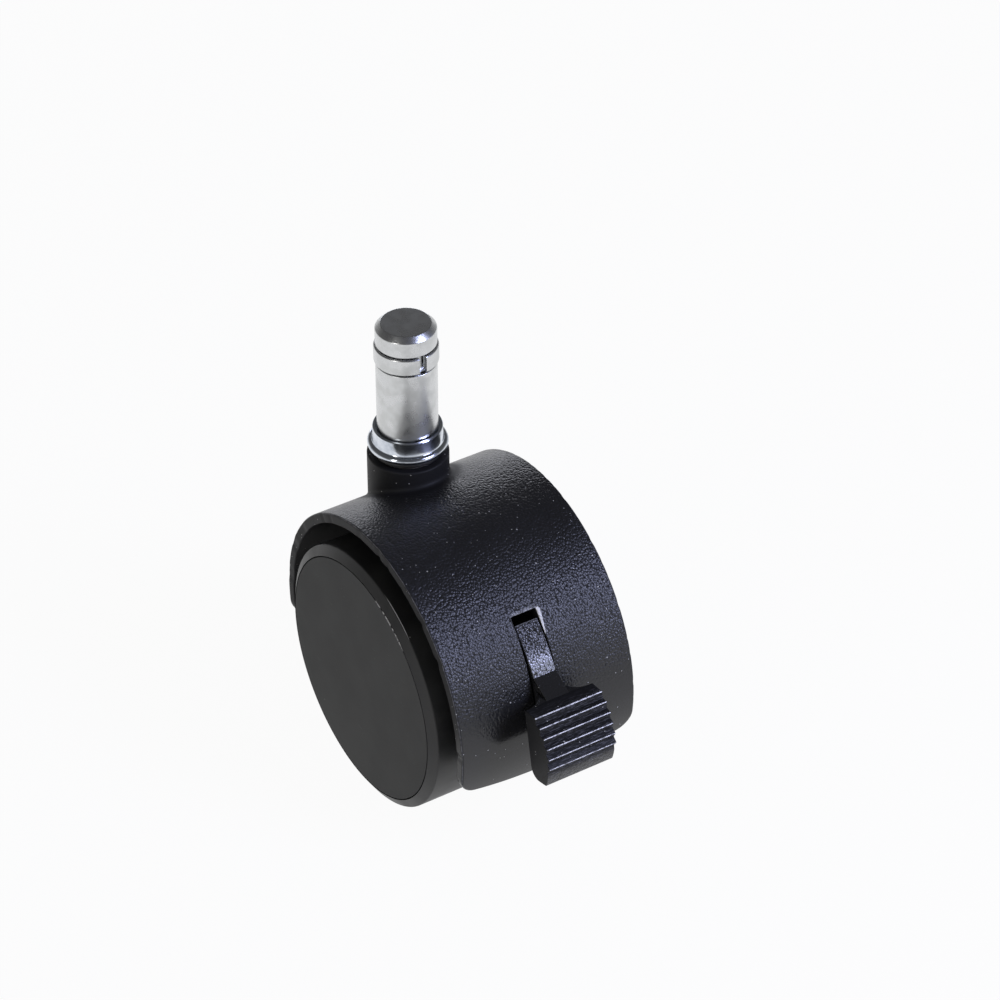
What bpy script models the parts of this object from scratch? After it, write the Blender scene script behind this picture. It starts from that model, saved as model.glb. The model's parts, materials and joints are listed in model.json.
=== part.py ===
# Hooded twin-wheel chair caster with a grip-ring stem and a foot brake.
# Metres, +Z up. The origin is on the swivel axis, at the collar's top face, where the chair rests.
# The axle runs along Y, ahead of the swivel axis at +X, and the brake lever faces +X.
import math

import bmesh
import bpy

# Clearances
FIT = 0.0003                 # gap kept between pieces that touch
WHEEL_SIDE_GAP = 0.0008      # wheel rim to the boss's side
BRAKE_RUB = 0.0002           # locked brake bar to the tread
AXLE_END_GAP = 0.0007        # axle end to the inside of a hub cap

# Stem and what is on it
STEM_RADIUS = 0.0055
STEM_LENGTH = 0.0220
STEM_CHAMFER = 0.0010
SPIGOT_RADIUS = 0.0040
SPIGOT_TAIL = 0.0016         # spigot below its retaining ring's groove
SPIGOT_CHAMFER = 0.0005
GRIP_RING_HEIGHT = 0.0034
GRIP_RING_WALL = 0.0010
GRIP_RING_PROUD = 0.0003     # ring outside the stem
GRIP_RING_INSET = 0.0040     # stem's top to the ring's groove
GRIP_RING_SPLIT = 0.0014
RETAINING_RING_HEIGHT = 0.0012
RETAINING_RING_WALL = 0.0015
RETAINING_RING_LIP = 0.0004  # bush's outside to the ring's outside
RETAINING_RING_SPLIT = 0.0030
COLLAR_HEIGHT = 0.0041
COLLAR_SEAT = 0.0008         # flat seat's edge outside the stem
COLLAR_RECESS = 0.0008       # depth of the recess that takes the stem's shoulder
COLLAR_FLANGE = 0.0018       # flange outside the stem
COLLAR_RIM = 0.0014          # rounded rim's height
COLLAR_LIP = 0.0003          # straight edge under the seat
THRUST_WASHER_THICKNESS = 0.0008
THRUST_WASHER_INSET = 0.0010

# Swivel socket
BUSH_WALL = 0.0011
BUSH_LENGTH = 0.0150
BOSS_WALL = 0.0017
BOSS_RISE = 0.0071           # boss top above the hood, on the swivel axis
SOCKET_FLOOR = 0.0020

# Wheels
WHEEL_RADIUS = 0.0250
TREAD_WIDTH = 0.0114
BEVEL_WIDTH = 0.0011         # bevelled outer edge, along the axle
BEVEL_HEIGHT = 0.0019        # bevelled outer edge, along the radius
INNER_CHAMFER = 0.0006
RIM_WALL = 0.0030
WHEEL_WEB = 0.0020
WHEEL_HUB_WALL = 0.0022
WHEEL_BUSH_WALL = 0.0010
CAP_THICKNESS = 0.0016
CAP_LEDGE = 0.0016           # width of the step that the cap rests on
CAP_POCKET = 0.0019          # step to the wheel's web
CAP_CHAMFER = 0.0003
CAP_SKIRT_WALL = 0.0012
CAP_SKIRT_DEPTH = 0.0012

# Axle
TRAIL = 0.0166               # axle ahead of the swivel axis
AXLE_RADIUS = 0.0030
AXLE_CHAMFER = 0.0004
WHEEL_WASHER_THICKNESS = 0.0007
WHEEL_WASHER_WIDTH = 0.0032
RETAINER_THICKNESS = 0.0008
RETAINER_WIDTH = 0.0026

# Hood
HOOD_GAP = 0.00345           # tread to the hood's inside
HOOD_WALL = 0.0019
HOOD_INSET = 0.0027          # hood's side to the wheel's face
HOOD_END_DROP = 0.0091       # end edge's middle below the axle, along the surface
HOOD_END_BOW = 0.0026        # rise of the end edge towards the sides
HOOD_END_CORNER = 0.0030
HUB_WALL = 0.0042
WEB_DROP = 0.0040            # web's lower edge below the axle
CHEEK_WALL = 0.0023          # web wall each side of the lever's pocket
POCKET_EXTRA = 0.0002        # pocket wider than the slot, each side
POCKET_WALL = 0.0010         # pocket to the axle hub
POCKET_ROOF = 0.0005         # pocket to the hood's inside
POCKET_LOW_ANGLE = math.radians(-35.0)
POCKET_HIGH_ANGLE = math.radians(100.0)

# Brake
LEVER_WIDTH = 0.0046
PIVOT_INSET = 0.0010         # pivot inside the tread's radius
PIVOT_ANGLE = math.radians(31.4)
PIN_RADIUS = 0.0015
EYE_WALL = 0.0014
EYE_LEG_ANGLE = math.radians(-80.0)   # where the eye's round meets the leg
EYE_ARM_ANGLE = math.radians(-240.0)  # where the eye's round meets the arm
STRIP_PROUD = 0.00015        # locked arm outside the hood
STRIP_HIGH_ANGLE = math.radians(39.0)
STRIP_LOW_ANGLE = math.radians(20.7)
STRIP_THICKNESS = 0.0031
STRIP_GAP = 0.0017           # released arm's end to the slot's end
SLOT_GAP = 0.0010            # locked leg's end to the slot's end
BAR_THICKNESS = 0.0014
BAR_LOW_ANGLE = math.radians(8.0)
BAR_HIGH_ANGLE = math.radians(18.0)
BAR_SIDE_INSET = 0.0036      # bar's end to the hood's side
LEG_WALL = 0.0013
NOTCH_GAP = 0.0006           # bar to the web's notch
PAD_WIDTH = 0.0139
PAD_RISE = 0.0015            # pad arc's centre above the axle
PAD_RADIUS = 0.0109
PAD_TOP_STANDOFF = 0.0030    # pad's inner face to the hood's radius
PAD_LOW_STANDOFF = 0.0046
PAD_DROP = 0.0046            # pad's bottom below its arc's centre
PAD_CORNER = 0.0023
PAD_BAND_DEPTH = 0.0006      # plain band below the ribs' crests
PAD_BAND_SPAN = math.radians(14.7)
RIB_COUNT = 6
RIB_DEPTH = 0.0008
RIB_FIRST_ANGLE = math.radians(56.5)
RIB_STEP = math.radians(10.4)
RIB_VALLEY = 0.55            # valley's place between two crests
NECK_DEPTH = 0.0035
NECK_BITE = 0.0025           # neck sunk into the pad
NECK_STEP = 0.0002           # neck's top below the pad's top

# Facets
WHEEL_SEGMENTS = 48
SMALL_SEGMENTS = 28
HOOD_STEPS = 44
HOOD_COLUMNS = 14
WEB_POINTS = 40
POCKET_POINTS = 24
SLOT_POINTS = 12
NOTCH_POINTS = 8
EYE_POINTS = 10
STRIP_POINTS = 7
BAR_POINTS = 6
CORNER_POINTS = 6
COLLAR_POINTS = 7
SHARP_ANGLE = math.radians(30.0)
CUT_SPARE = 0.0010           # cutters past what they cut

# Sizes worked out from the driving dimensions
BUSH_INNER = SPIGOT_RADIUS + FIT
BUSH_OUTER = BUSH_INNER + BUSH_WALL
SOCKET_RADIUS = BUSH_OUTER + FIT
BOSS_RADIUS = SOCKET_RADIUS + BOSS_WALL
SHOULDER = FIT - COLLAR_RECESS
THRUST_TOP = -COLLAR_HEIGHT - FIT
BOSS_TOP = THRUST_TOP - THRUST_WASHER_THICKNESS - FIT
BUSH_BOTTOM = BOSS_TOP - BUSH_LENGTH
RING_TOP = BUSH_BOTTOM - FIT
RING_BOTTOM = RING_TOP - RETAINING_RING_HEIGHT
RING_OUTER = BUSH_OUTER - RETAINING_RING_LIP
RING_INNER = RING_OUTER - RETAINING_RING_WALL
SPIGOT_END = RING_BOTTOM - FIT - SPIGOT_TAIL
SOCKET_END = SPIGOT_END - FIT

HOOD_INNER = WHEEL_RADIUS + HOOD_GAP
HOOD_OUTER = HOOD_INNER + HOOD_WALL
AXLE_DROP = math.sqrt(HOOD_OUTER ** 2 - TRAIL ** 2) + BOSS_RISE - BOSS_TOP
HUB_RADIUS = AXLE_RADIUS + FIT + HUB_WALL
HUB_HALF = BOSS_RADIUS

WHEEL_INSIDE = BOSS_RADIUS + WHEEL_SIDE_GAP
TREAD_OUTSIDE = WHEEL_INSIDE + TREAD_WIDTH
WHEEL_FACE = TREAD_OUTSIDE + BEVEL_WIDTH
WHEEL_HUB_INSIDE = HUB_HALF + FIT + WHEEL_WASHER_THICKNESS + FIT
CAP_INSIDE = WHEEL_FACE - CAP_THICKNESS
LEDGE_FACE = CAP_INSIDE - FIT
WEB_OUTSIDE = LEDGE_FACE - CAP_POCKET
WEB_INSIDE = WEB_OUTSIDE - WHEEL_WEB
WHEEL_BUSH_INNER = AXLE_RADIUS + FIT
WHEEL_BUSH_OUTER = WHEEL_BUSH_INNER + WHEEL_BUSH_WALL
WHEEL_BORE = WHEEL_BUSH_OUTER + FIT
WHEEL_HUB_RADIUS = WHEEL_BORE + WHEEL_HUB_WALL
CAP_SEAT_RADIUS = WHEEL_RADIUS - BEVEL_HEIGHT
CAP_RADIUS = CAP_SEAT_RADIUS - FIT
POCKET_RADIUS = CAP_SEAT_RADIUS - CAP_LEDGE
AXLE_HALF = CAP_INSIDE - AXLE_END_GAP
HOOD_HALF = WHEEL_FACE - HOOD_INSET

LEVER_HALF = LEVER_WIDTH / 2
SLOT_HALF = LEVER_HALF + FIT
LEVER_POCKET_HALF = SLOT_HALF + POCKET_EXTRA
WEB_HALF = LEVER_POCKET_HALF + CHEEK_WALL
EYE_RADIUS = PIN_RADIUS + FIT + EYE_WALL
BAR_INNER = WHEEL_RADIUS + BRAKE_RUB
BAR_OUTER = BAR_INNER + BAR_THICKNESS
BAR_HALF = HOOD_HALF - BAR_SIDE_INSET
LEG_OUTER = BAR_OUTER + FIT + LEG_WALL
LEG_INNER = BAR_INNER - FIT - LEG_WALL
LEG_LOW_ANGLE = BAR_LOW_ANGLE - (FIT + LEG_WALL) / BAR_OUTER
LEG_HIGH_ANGLE = BAR_HIGH_ANGLE + (FIT + LEG_WALL) / BAR_OUTER
STRIP_RADIUS = HOOD_OUTER + STRIP_PROUD
PAD_CENTRE = (HOOD_OUTER, PAD_RISE)
PAD_TOP = PAD_RISE + (PAD_RADIUS - RIB_DEPTH / 2) * math.sin(RIB_FIRST_ANGLE)


def polar(radius, angle, centre=(0, 0)):
    return (centre[0] + radius * math.cos(angle), centre[1] + radius * math.sin(angle))


def spread(first, last, count):
    return [first + (last - first) * k / (count - 1) for k in range(count)]


def arc(centre, radius, first, last, count):
    return [polar(radius, angle, centre) for angle in spread(first, last, count)]


def angle_of(point):
    return math.atan2(point[1], point[0])


PIVOT = polar(WHEEL_RADIUS - PIVOT_INSET, PIVOT_ANGLE)


def lock_angle():
    # Turn from released, with the bar's lower corner just clear of the hood, to locked on the tread
    corner = polar(BAR_OUTER, BAR_LOW_ANGLE)
    arm = (corner[0] - PIVOT[0], corner[1] - PIVOT[1])
    reach = math.hypot(*arm)
    swing = math.hypot(*PIVOT)
    limit = HOOD_INNER - FIT
    released_opening = math.acos((limit ** 2 - swing ** 2 - reach ** 2) / (2 * swing * reach))
    return PIVOT_ANGLE - angle_of(arm) - released_opening


LOCK_ANGLE = lock_angle()


def released(point):
    # A point of the locked lever, in its released place
    x = point[0] - PIVOT[0]
    z = point[1] - PIVOT[1]
    c = math.cos(LOCK_ANGLE)
    s = math.sin(LOCK_ANGLE)
    return (PIVOT[0] + x * c - z * s, PIVOT[1] + x * s + z * c)


def clear_scene():
    for item in list(bpy.data.objects):
        bpy.data.objects.remove(item, do_unlink=True)


def make_material(name, colour, roughness, metallic):
    material = bpy.data.materials.new(name)
    material.use_nodes = True
    shader = material.node_tree.nodes["Principled BSDF"]
    shader.inputs["Base Color"].default_value = (*colour, 1.0)
    shader.inputs["Roughness"].default_value = roughness
    shader.inputs["Metallic"].default_value = metallic
    return material


def make_axis(name, location, parent=None):
    axis = bpy.data.objects.new(name, None)
    axis.location = location
    axis.parent = parent
    bpy.context.scene.collection.objects.link(axis)
    return axis


def make_object(name, mesh_maker, parent, material=None):
    bmesh.ops.recalc_face_normals(mesh_maker, faces=mesh_maker.faces)
    mesh = bpy.data.meshes.new(name)
    mesh_maker.to_mesh(mesh)
    mesh_maker.free()
    mesh.shade_smooth()
    mesh.set_sharp_from_angle(angle=SHARP_ANGLE)
    if material is not None:
        mesh.materials.append(material)
    item = bpy.data.objects.new(name, mesh)
    item.parent = parent
    bpy.context.scene.collection.objects.link(item)
    return item


def on_axis(axis, radius, angle, height):
    a = radius * math.cos(angle)
    b = radius * math.sin(angle)
    if axis == "Y":
        return (b, height, a)
    return (a, b, height)


def turned(profile, axis, segments, solid=False):
    # Profile of (radius, height) turned about an axis: a closed ring, or a solid with a flat face at each end
    shape = bmesh.new()
    rings = []
    for radius, height in profile:
        rings.append([shape.verts.new(on_axis(axis, radius, math.tau * k / segments, height))
                      for k in range(segments)])
    followers = rings[1:] if solid else rings[1:] + rings[:1]
    for ring, after in zip(rings, followers):
        for k in range(segments):
            j = (k + 1) % segments
            shape.faces.new((ring[k], ring[j], after[j], after[k]))
    if solid:
        shape.faces.new(rings[0])
        shape.faces.new(rings[-1])
    return shape


def split_ring(inner, outer, bottom, top, split, segments):
    # Ring about Z, open for the split's width on its outside
    shape = bmesh.new()
    gap = split / outer
    section = [(inner, bottom), (outer, bottom), (outer, top), (inner, top)]
    rows = []
    for angle in spread(gap / 2, math.tau - gap / 2, segments + 1):
        rows.append([shape.verts.new(on_axis("Z", radius, angle, height)) for radius, height in section])
    for row, after in zip(rows, rows[1:]):
        for k in range(len(section)):
            j = (k + 1) % len(section)
            shape.faces.new((row[k], row[j], after[j], after[k]))
    shape.faces.new(rows[0])
    shape.faces.new(rows[-1])
    return shape


def extruded(outline, low, high):
    # Outline in X and Z, extruded along Y
    shape = bmesh.new()
    near = [shape.verts.new((x, low, z)) for x, z in outline]
    far = [shape.verts.new((x, high, z)) for x, z in outline]
    shape.faces.new(near)
    shape.faces.new(far)
    for k in range(len(outline)):
        j = (k + 1) % len(outline)
        shape.faces.new((near[k], near[j], far[j], far[k]))
    return shape


def sector(inner, outer, low, high, count):
    return arc((0, 0), outer, low, high, count) + arc((0, 0), inner, high, low, count)


def moved(shape, offset):
    bmesh.ops.translate(shape, verts=shape.verts, vec=offset)
    return shape


def cross_pin(centre, radius, half):
    pin = turned([(radius, half), (radius, -half)], "Y", SMALL_SEGMENTS, solid=True)
    return moved(pin, (centre[0], 0, centre[1]))


def mirrored(profile, side):
    return [(radius, side * height) for radius, height in profile]


def combine(target, name, shape, operation):
    # Joins or cuts the target with a helper shape that isn't a piece itself
    helper = make_object(name, shape, target.parent)
    helper.hide_render = True
    helper.display_type = "WIRE"
    modifier = target.modifiers.new(name, "BOOLEAN")
    modifier.operation = operation
    modifier.solver = "EXACT"
    modifier.object = helper


def ring_profile(inner, outer, bottom, top):
    return [(outer, top), (outer, bottom), (inner, bottom), (inner, top)]


def build_stem(parent, steel):
    groove_radius = STEM_RADIUS + GRIP_RING_PROUD - GRIP_RING_WALL - FIT
    groove_top = STEM_LENGTH - GRIP_RING_INSET
    groove_bottom = groove_top - GRIP_RING_HEIGHT - 2 * FIT
    lower_radius = RING_INNER - FIT
    profile = [
        (STEM_RADIUS - STEM_CHAMFER, STEM_LENGTH),
        (STEM_RADIUS, STEM_LENGTH - STEM_CHAMFER),
        (STEM_RADIUS, groove_top),
        (groove_radius, groove_top),
        (groove_radius, groove_bottom),
        (STEM_RADIUS, groove_bottom),
        (STEM_RADIUS, SHOULDER),
        (SPIGOT_RADIUS, SHOULDER),
        (SPIGOT_RADIUS, RING_TOP + FIT),
        (lower_radius, RING_TOP + FIT),
        (lower_radius, RING_BOTTOM - FIT),
        (SPIGOT_RADIUS, RING_BOTTOM - FIT),
        (SPIGOT_RADIUS, SPIGOT_END + SPIGOT_CHAMFER),
        (SPIGOT_RADIUS - SPIGOT_CHAMFER, SPIGOT_END),
    ]
    make_object("stem", turned(profile, "Z", SMALL_SEGMENTS, solid=True), parent, steel)
    grip_top = groove_top - FIT
    grip = split_ring(groove_radius + FIT, STEM_RADIUS + GRIP_RING_PROUD,
                      grip_top - GRIP_RING_HEIGHT, grip_top, GRIP_RING_SPLIT, SMALL_SEGMENTS)
    make_object("grip_ring", grip, parent, steel)
    retaining = split_ring(RING_INNER, RING_OUTER, RING_BOTTOM, RING_TOP,
                           RETAINING_RING_SPLIT, SMALL_SEGMENTS)
    make_object("stem_retaining_ring", retaining, parent, steel)


def build_collar(parent, chrome):
    neck = STEM_RADIUS + COLLAR_SEAT
    rim_middle = STEM_RADIUS + COLLAR_FLANGE - COLLAR_RIM / 2
    flare_width = rim_middle - neck
    flare_height = COLLAR_HEIGHT - COLLAR_RIM - COLLAR_LIP
    flare = [(rim_middle - flare_width * math.cos(t), -COLLAR_LIP - flare_height * math.sin(t))
             for t in spread(0, math.pi / 2, COLLAR_POINTS)]
    rim_centre = (rim_middle, COLLAR_RIM / 2 - COLLAR_HEIGHT)
    rim = arc(rim_centre, COLLAR_RIM / 2, math.pi / 2, -math.pi / 2, COLLAR_POINTS)
    bore = SPIGOT_RADIUS + FIT
    recess = STEM_RADIUS + FIT
    top = [(bore, -COLLAR_RECESS), (recess, -COLLAR_RECESS), (recess, 0), (neck, 0)]
    profile = top + flare + rim[1:] + [(bore, -COLLAR_HEIGHT)]
    make_object("stem_collar", turned(profile, "Z", SMALL_SEGMENTS), parent, chrome)


def build_swivel_bearing(parent, nylon, black_nylon):
    washer = ring_profile(BUSH_INNER, BOSS_RADIUS - THRUST_WASHER_INSET,
                          THRUST_TOP - THRUST_WASHER_THICKNESS, THRUST_TOP)
    make_object("thrust_washer", turned(washer, "Z", SMALL_SEGMENTS), parent, black_nylon)
    bush = ring_profile(BUSH_INNER, BUSH_OUTER, BUSH_BOTTOM, BOSS_TOP)
    make_object("swivel_bush", turned(bush, "Z", SMALL_SEGMENTS), parent, nylon)


def hood_end(y):
    # How far along the surface the hood's end lies below the axle, at a place across its width
    corner = max(0.0, abs(y) - (HOOD_HALF - HOOD_END_CORNER))
    round_off = HOOD_END_CORNER - math.sqrt(max(0.0, HOOD_END_CORNER ** 2 - corner ** 2))
    return HOOD_END_DROP - HOOD_END_BOW * (y / HOOD_HALF) ** 2 - round_off


def hood_shell():
    shape = bmesh.new()
    layers = []
    for radius in (HOOD_INNER, HOOD_OUTER):
        columns = []
        for k in range(HOOD_COLUMNS + 1):
            y = -HOOD_HALF * math.cos(math.pi * k / HOOD_COLUMNS)
            end = hood_end(y) / HOOD_OUTER
            column = [shape.verts.new((radius * math.cos(a), y, radius * math.sin(a)))
                      for a in spread(-end, math.pi + end, HOOD_STEPS + 1)]
            columns.append(column)
        layers.append(columns)
    inner, outer = layers
    for columns in layers:
        for left, right in zip(columns, columns[1:]):
            for k in range(HOOD_STEPS):
                shape.faces.new((left[k], left[k + 1], right[k + 1], right[k]))
    for side in (0, -1):
        for k in range(HOOD_STEPS):
            shape.faces.new((inner[side][k], inner[side][k + 1], outer[side][k + 1], outer[side][k]))
    for end in (0, -1):
        for k in range(HOOD_COLUMNS):
            shape.faces.new((inner[k][end], inner[k + 1][end], outer[k + 1][end], outer[k][end]))
    return shape


def web_outline():
    # Half disc under the hood, cut back at the front where the brake bar swings
    radius = HOOD_INNER + HOOD_WALL / 2
    notch_radius = BAR_INNER - NOTCH_GAP
    bar_top = max(angle_of(released(polar(r, BAR_HIGH_ANGLE))) for r in (BAR_INNER, BAR_OUTER))
    notch_angle = bar_top + NOTCH_GAP / BAR_INNER
    rear = math.pi + math.asin(WEB_DROP / radius)
    notch_low = -math.asin(WEB_DROP / notch_radius)
    notch = arc((0, 0), notch_radius, notch_low, notch_angle, NOTCH_POINTS)
    return arc((0, 0), radius, notch_angle, rear, WEB_POINTS) + notch


def build_hood(axle_place, plastic):
    hood = make_object("hood", hood_shell(), axle_place, plastic)
    boss_top = BOSS_TOP + AXLE_DROP
    socket_end = SOCKET_END + AXLE_DROP
    combine(hood, "web_form", extruded(web_outline(), -WEB_HALF, WEB_HALF), "UNION")
    boss = turned([(BOSS_RADIUS, boss_top), (BOSS_RADIUS, socket_end - SOCKET_FLOOR)],
                  "Z", SMALL_SEGMENTS, solid=True)
    combine(hood, "boss_form", moved(boss, (-TRAIL, 0, 0)), "UNION")
    combine(hood, "hub_form", cross_pin((0, 0), HUB_RADIUS, HUB_HALF), "UNION")
    step = RING_TOP + AXLE_DROP
    chamber = RING_OUTER + FIT
    socket = turned([(SOCKET_RADIUS, boss_top + CUT_SPARE), (SOCKET_RADIUS, step), (chamber, step),
                     (chamber, socket_end)], "Z", SMALL_SEGMENTS, solid=True)
    combine(hood, "socket_cut", moved(socket, (-TRAIL, 0, 0)), "DIFFERENCE")
    axle_hole = cross_pin((0, 0), AXLE_RADIUS + FIT, HUB_HALF + CUT_SPARE)
    combine(hood, "axle_cut", axle_hole, "DIFFERENCE")
    pocket_outer = HOOD_INNER - POCKET_ROOF
    pocket = sector(HUB_RADIUS + POCKET_WALL, pocket_outer, POCKET_LOW_ANGLE, POCKET_HIGH_ANGLE,
                    POCKET_POINTS)
    combine(hood, "pocket_cut", extruded(pocket, -LEVER_POCKET_HALF, LEVER_POCKET_HALF), "DIFFERENCE")
    slot_low = LEG_LOW_ANGLE - SLOT_GAP / HOOD_OUTER
    slot_high = angle_of(released(polar(STRIP_RADIUS, STRIP_HIGH_ANGLE))) + STRIP_GAP / HOOD_OUTER
    slot = sector(pocket_outer - CUT_SPARE, HOOD_OUTER + CUT_SPARE, slot_low, slot_high, SLOT_POINTS)
    combine(hood, "slot_cut", extruded(slot, -SLOT_HALF, SLOT_HALF), "DIFFERENCE")
    combine(hood, "pin_cut", cross_pin(PIVOT, PIN_RADIUS + FIT, WEB_HALF + CUT_SPARE), "DIFFERENCE")


def build_wheel(name, side, parent, plastic, cap_plastic, nylon):
    wheel = [
        (WHEEL_BORE, WHEEL_HUB_INSIDE),
        (WHEEL_HUB_RADIUS, WHEEL_HUB_INSIDE),
        (WHEEL_HUB_RADIUS, WEB_INSIDE),
        (WHEEL_RADIUS - RIM_WALL, WEB_INSIDE),
        (WHEEL_RADIUS - RIM_WALL, WHEEL_INSIDE),
        (WHEEL_RADIUS - INNER_CHAMFER, WHEEL_INSIDE),
        (WHEEL_RADIUS, WHEEL_INSIDE + INNER_CHAMFER),
        (WHEEL_RADIUS, TREAD_OUTSIDE),
        (CAP_SEAT_RADIUS, WHEEL_FACE),
        (CAP_SEAT_RADIUS, LEDGE_FACE),
        (POCKET_RADIUS, LEDGE_FACE),
        (POCKET_RADIUS, WEB_OUTSIDE),
        (WHEEL_BORE, WEB_OUTSIDE),
    ]
    make_object("wheel_" + name, turned(mirrored(wheel, side), "Y", WHEEL_SEGMENTS), parent, plastic)
    skirt_outer = POCKET_RADIUS - FIT
    skirt_inner = skirt_outer - CAP_SKIRT_WALL
    skirt_end = CAP_INSIDE - CAP_SKIRT_DEPTH
    cap = [
        (CAP_RADIUS - CAP_CHAMFER, WHEEL_FACE),
        (CAP_RADIUS, WHEEL_FACE - CAP_CHAMFER),
        (CAP_RADIUS, CAP_INSIDE),
        (skirt_outer, CAP_INSIDE),
        (skirt_outer, skirt_end),
        (skirt_inner, skirt_end),
        (skirt_inner, CAP_INSIDE),
    ]
    disc = turned(mirrored(cap, side), "Y", WHEEL_SEGMENTS, solid=True)
    make_object("hub_cap_" + name, disc, parent, cap_plastic)
    bush = ring_profile(WHEEL_BUSH_INNER, WHEEL_BUSH_OUTER, WHEEL_HUB_INSIDE, WEB_OUTSIDE)
    make_object("wheel_bush_" + name, turned(mirrored(bush, side), "Y", SMALL_SEGMENTS), parent, nylon)


def build_axle(parent, steel, sides):
    profile = [
        (AXLE_RADIUS - AXLE_CHAMFER, AXLE_HALF),
        (AXLE_RADIUS, AXLE_HALF - AXLE_CHAMFER),
        (AXLE_RADIUS, AXLE_CHAMFER - AXLE_HALF),
        (AXLE_RADIUS - AXLE_CHAMFER, -AXLE_HALF),
    ]
    make_object("axle", turned(profile, "Y", SMALL_SEGMENTS, solid=True), parent, steel)
    inner = AXLE_RADIUS + FIT
    washer = ring_profile(inner, inner + WHEEL_WASHER_WIDTH, HUB_HALF + FIT,
                          HUB_HALF + FIT + WHEEL_WASHER_THICKNESS)
    retainer = ring_profile(inner, inner + RETAINER_WIDTH, WEB_OUTSIDE + FIT,
                            WEB_OUTSIDE + FIT + RETAINER_THICKNESS)
    for name, side in sides:
        for piece, ring in (("wheel_washer_", washer), ("axle_retainer_", retainer)):
            make_object(piece + name, turned(mirrored(ring, side), "Y", SMALL_SEGMENTS), parent, steel)


def pad_outline():
    # Ribbed thumb pad: a convex ribbed face, a plain band, a rounded lower corner and a flat inner face
    points = []
    for k in range(RIB_COUNT):
        crest = RIB_FIRST_ANGLE - k * RIB_STEP
        points.append(polar(PAD_RADIUS, crest, PAD_CENTRE))
        points.append(polar(PAD_RADIUS - RIB_DEPTH, crest - RIB_VALLEY * RIB_STEP, PAD_CENTRE))
    last = RIB_FIRST_ANGLE - RIB_COUNT * RIB_STEP
    points += arc(PAD_CENTRE, PAD_RADIUS - PAD_BAND_DEPTH, last, last - PAD_BAND_SPAN, CORNER_POINTS)
    corner = (HOOD_OUTER + PAD_LOW_STANDOFF + PAD_CORNER, PAD_RISE - PAD_DROP + PAD_CORNER)
    points += arc(corner, PAD_CORNER, -math.pi / 2, -math.pi, CORNER_POINTS)
    points.append((HOOD_OUTER + PAD_TOP_STANDOFF, PAD_TOP))
    return points


def lever_outline():
    # Arm in the slot, neck, leg round the brake bar and eye round the pin, released
    strip = [released(point)
             for point in arc((0, 0), STRIP_RADIUS, STRIP_HIGH_ANGLE, STRIP_LOW_ANGLE, STRIP_POINTS)]
    strip_inside = released(polar(STRIP_RADIUS - STRIP_THICKNESS, STRIP_HIGH_ANGLE))
    neck_x = HOOD_OUTER + PAD_TOP_STANDOFF
    neck_top = PAD_TOP - NECK_STEP
    neck = [
        (neck_x, neck_top),
        (neck_x + NECK_BITE, neck_top - NECK_STEP),
        (neck_x + NECK_BITE, neck_top - NECK_DEPTH),
        (HOOD_OUTER, neck_top - NECK_DEPTH),
    ]
    leg = [released(polar(LEG_OUTER, LEG_LOW_ANGLE)), released(polar(LEG_INNER, LEG_LOW_ANGLE)),
           released(polar(LEG_INNER, LEG_HIGH_ANGLE))]
    eye = arc(PIVOT, EYE_RADIUS, EYE_LEG_ANGLE, EYE_ARM_ANGLE, EYE_POINTS)
    return strip + neck + leg + eye + [strip_inside]


def bar_outline(margin):
    # The brake bar's released section, or the window round it
    spare = margin / BAR_OUTER
    section = sector(BAR_INNER - margin, BAR_OUTER + margin, BAR_LOW_ANGLE - spare, BAR_HIGH_ANGLE + spare,
                     BAR_POINTS)
    return [released(point) for point in section]


def build_brake(parent_hood, parent_lever, plastic, steel):
    to_pivot = (-PIVOT[0], 0, -PIVOT[1])
    cut_half = LEVER_HALF + CUT_SPARE
    arm = moved(extruded(lever_outline(), -LEVER_HALF, LEVER_HALF), to_pivot)
    lever = make_object("brake_lever", arm, parent_lever, plastic)
    pad = moved(extruded(pad_outline(), -PAD_WIDTH / 2, PAD_WIDTH / 2), to_pivot)
    combine(lever, "pad_form", pad, "UNION")
    window = moved(extruded(bar_outline(FIT), -cut_half, cut_half), to_pivot)
    combine(lever, "bar_cut", window, "DIFFERENCE")
    combine(lever, "eye_cut", cross_pin((0, 0), PIN_RADIUS + FIT, cut_half), "DIFFERENCE")
    bar = moved(extruded(bar_outline(0), -BAR_HALF, BAR_HALF), to_pivot)
    make_object("brake_bar", bar, parent_lever, steel)
    make_object("brake_pivot_pin", cross_pin(PIVOT, PIN_RADIUS, WEB_HALF - FIT), parent_hood, steel)


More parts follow.
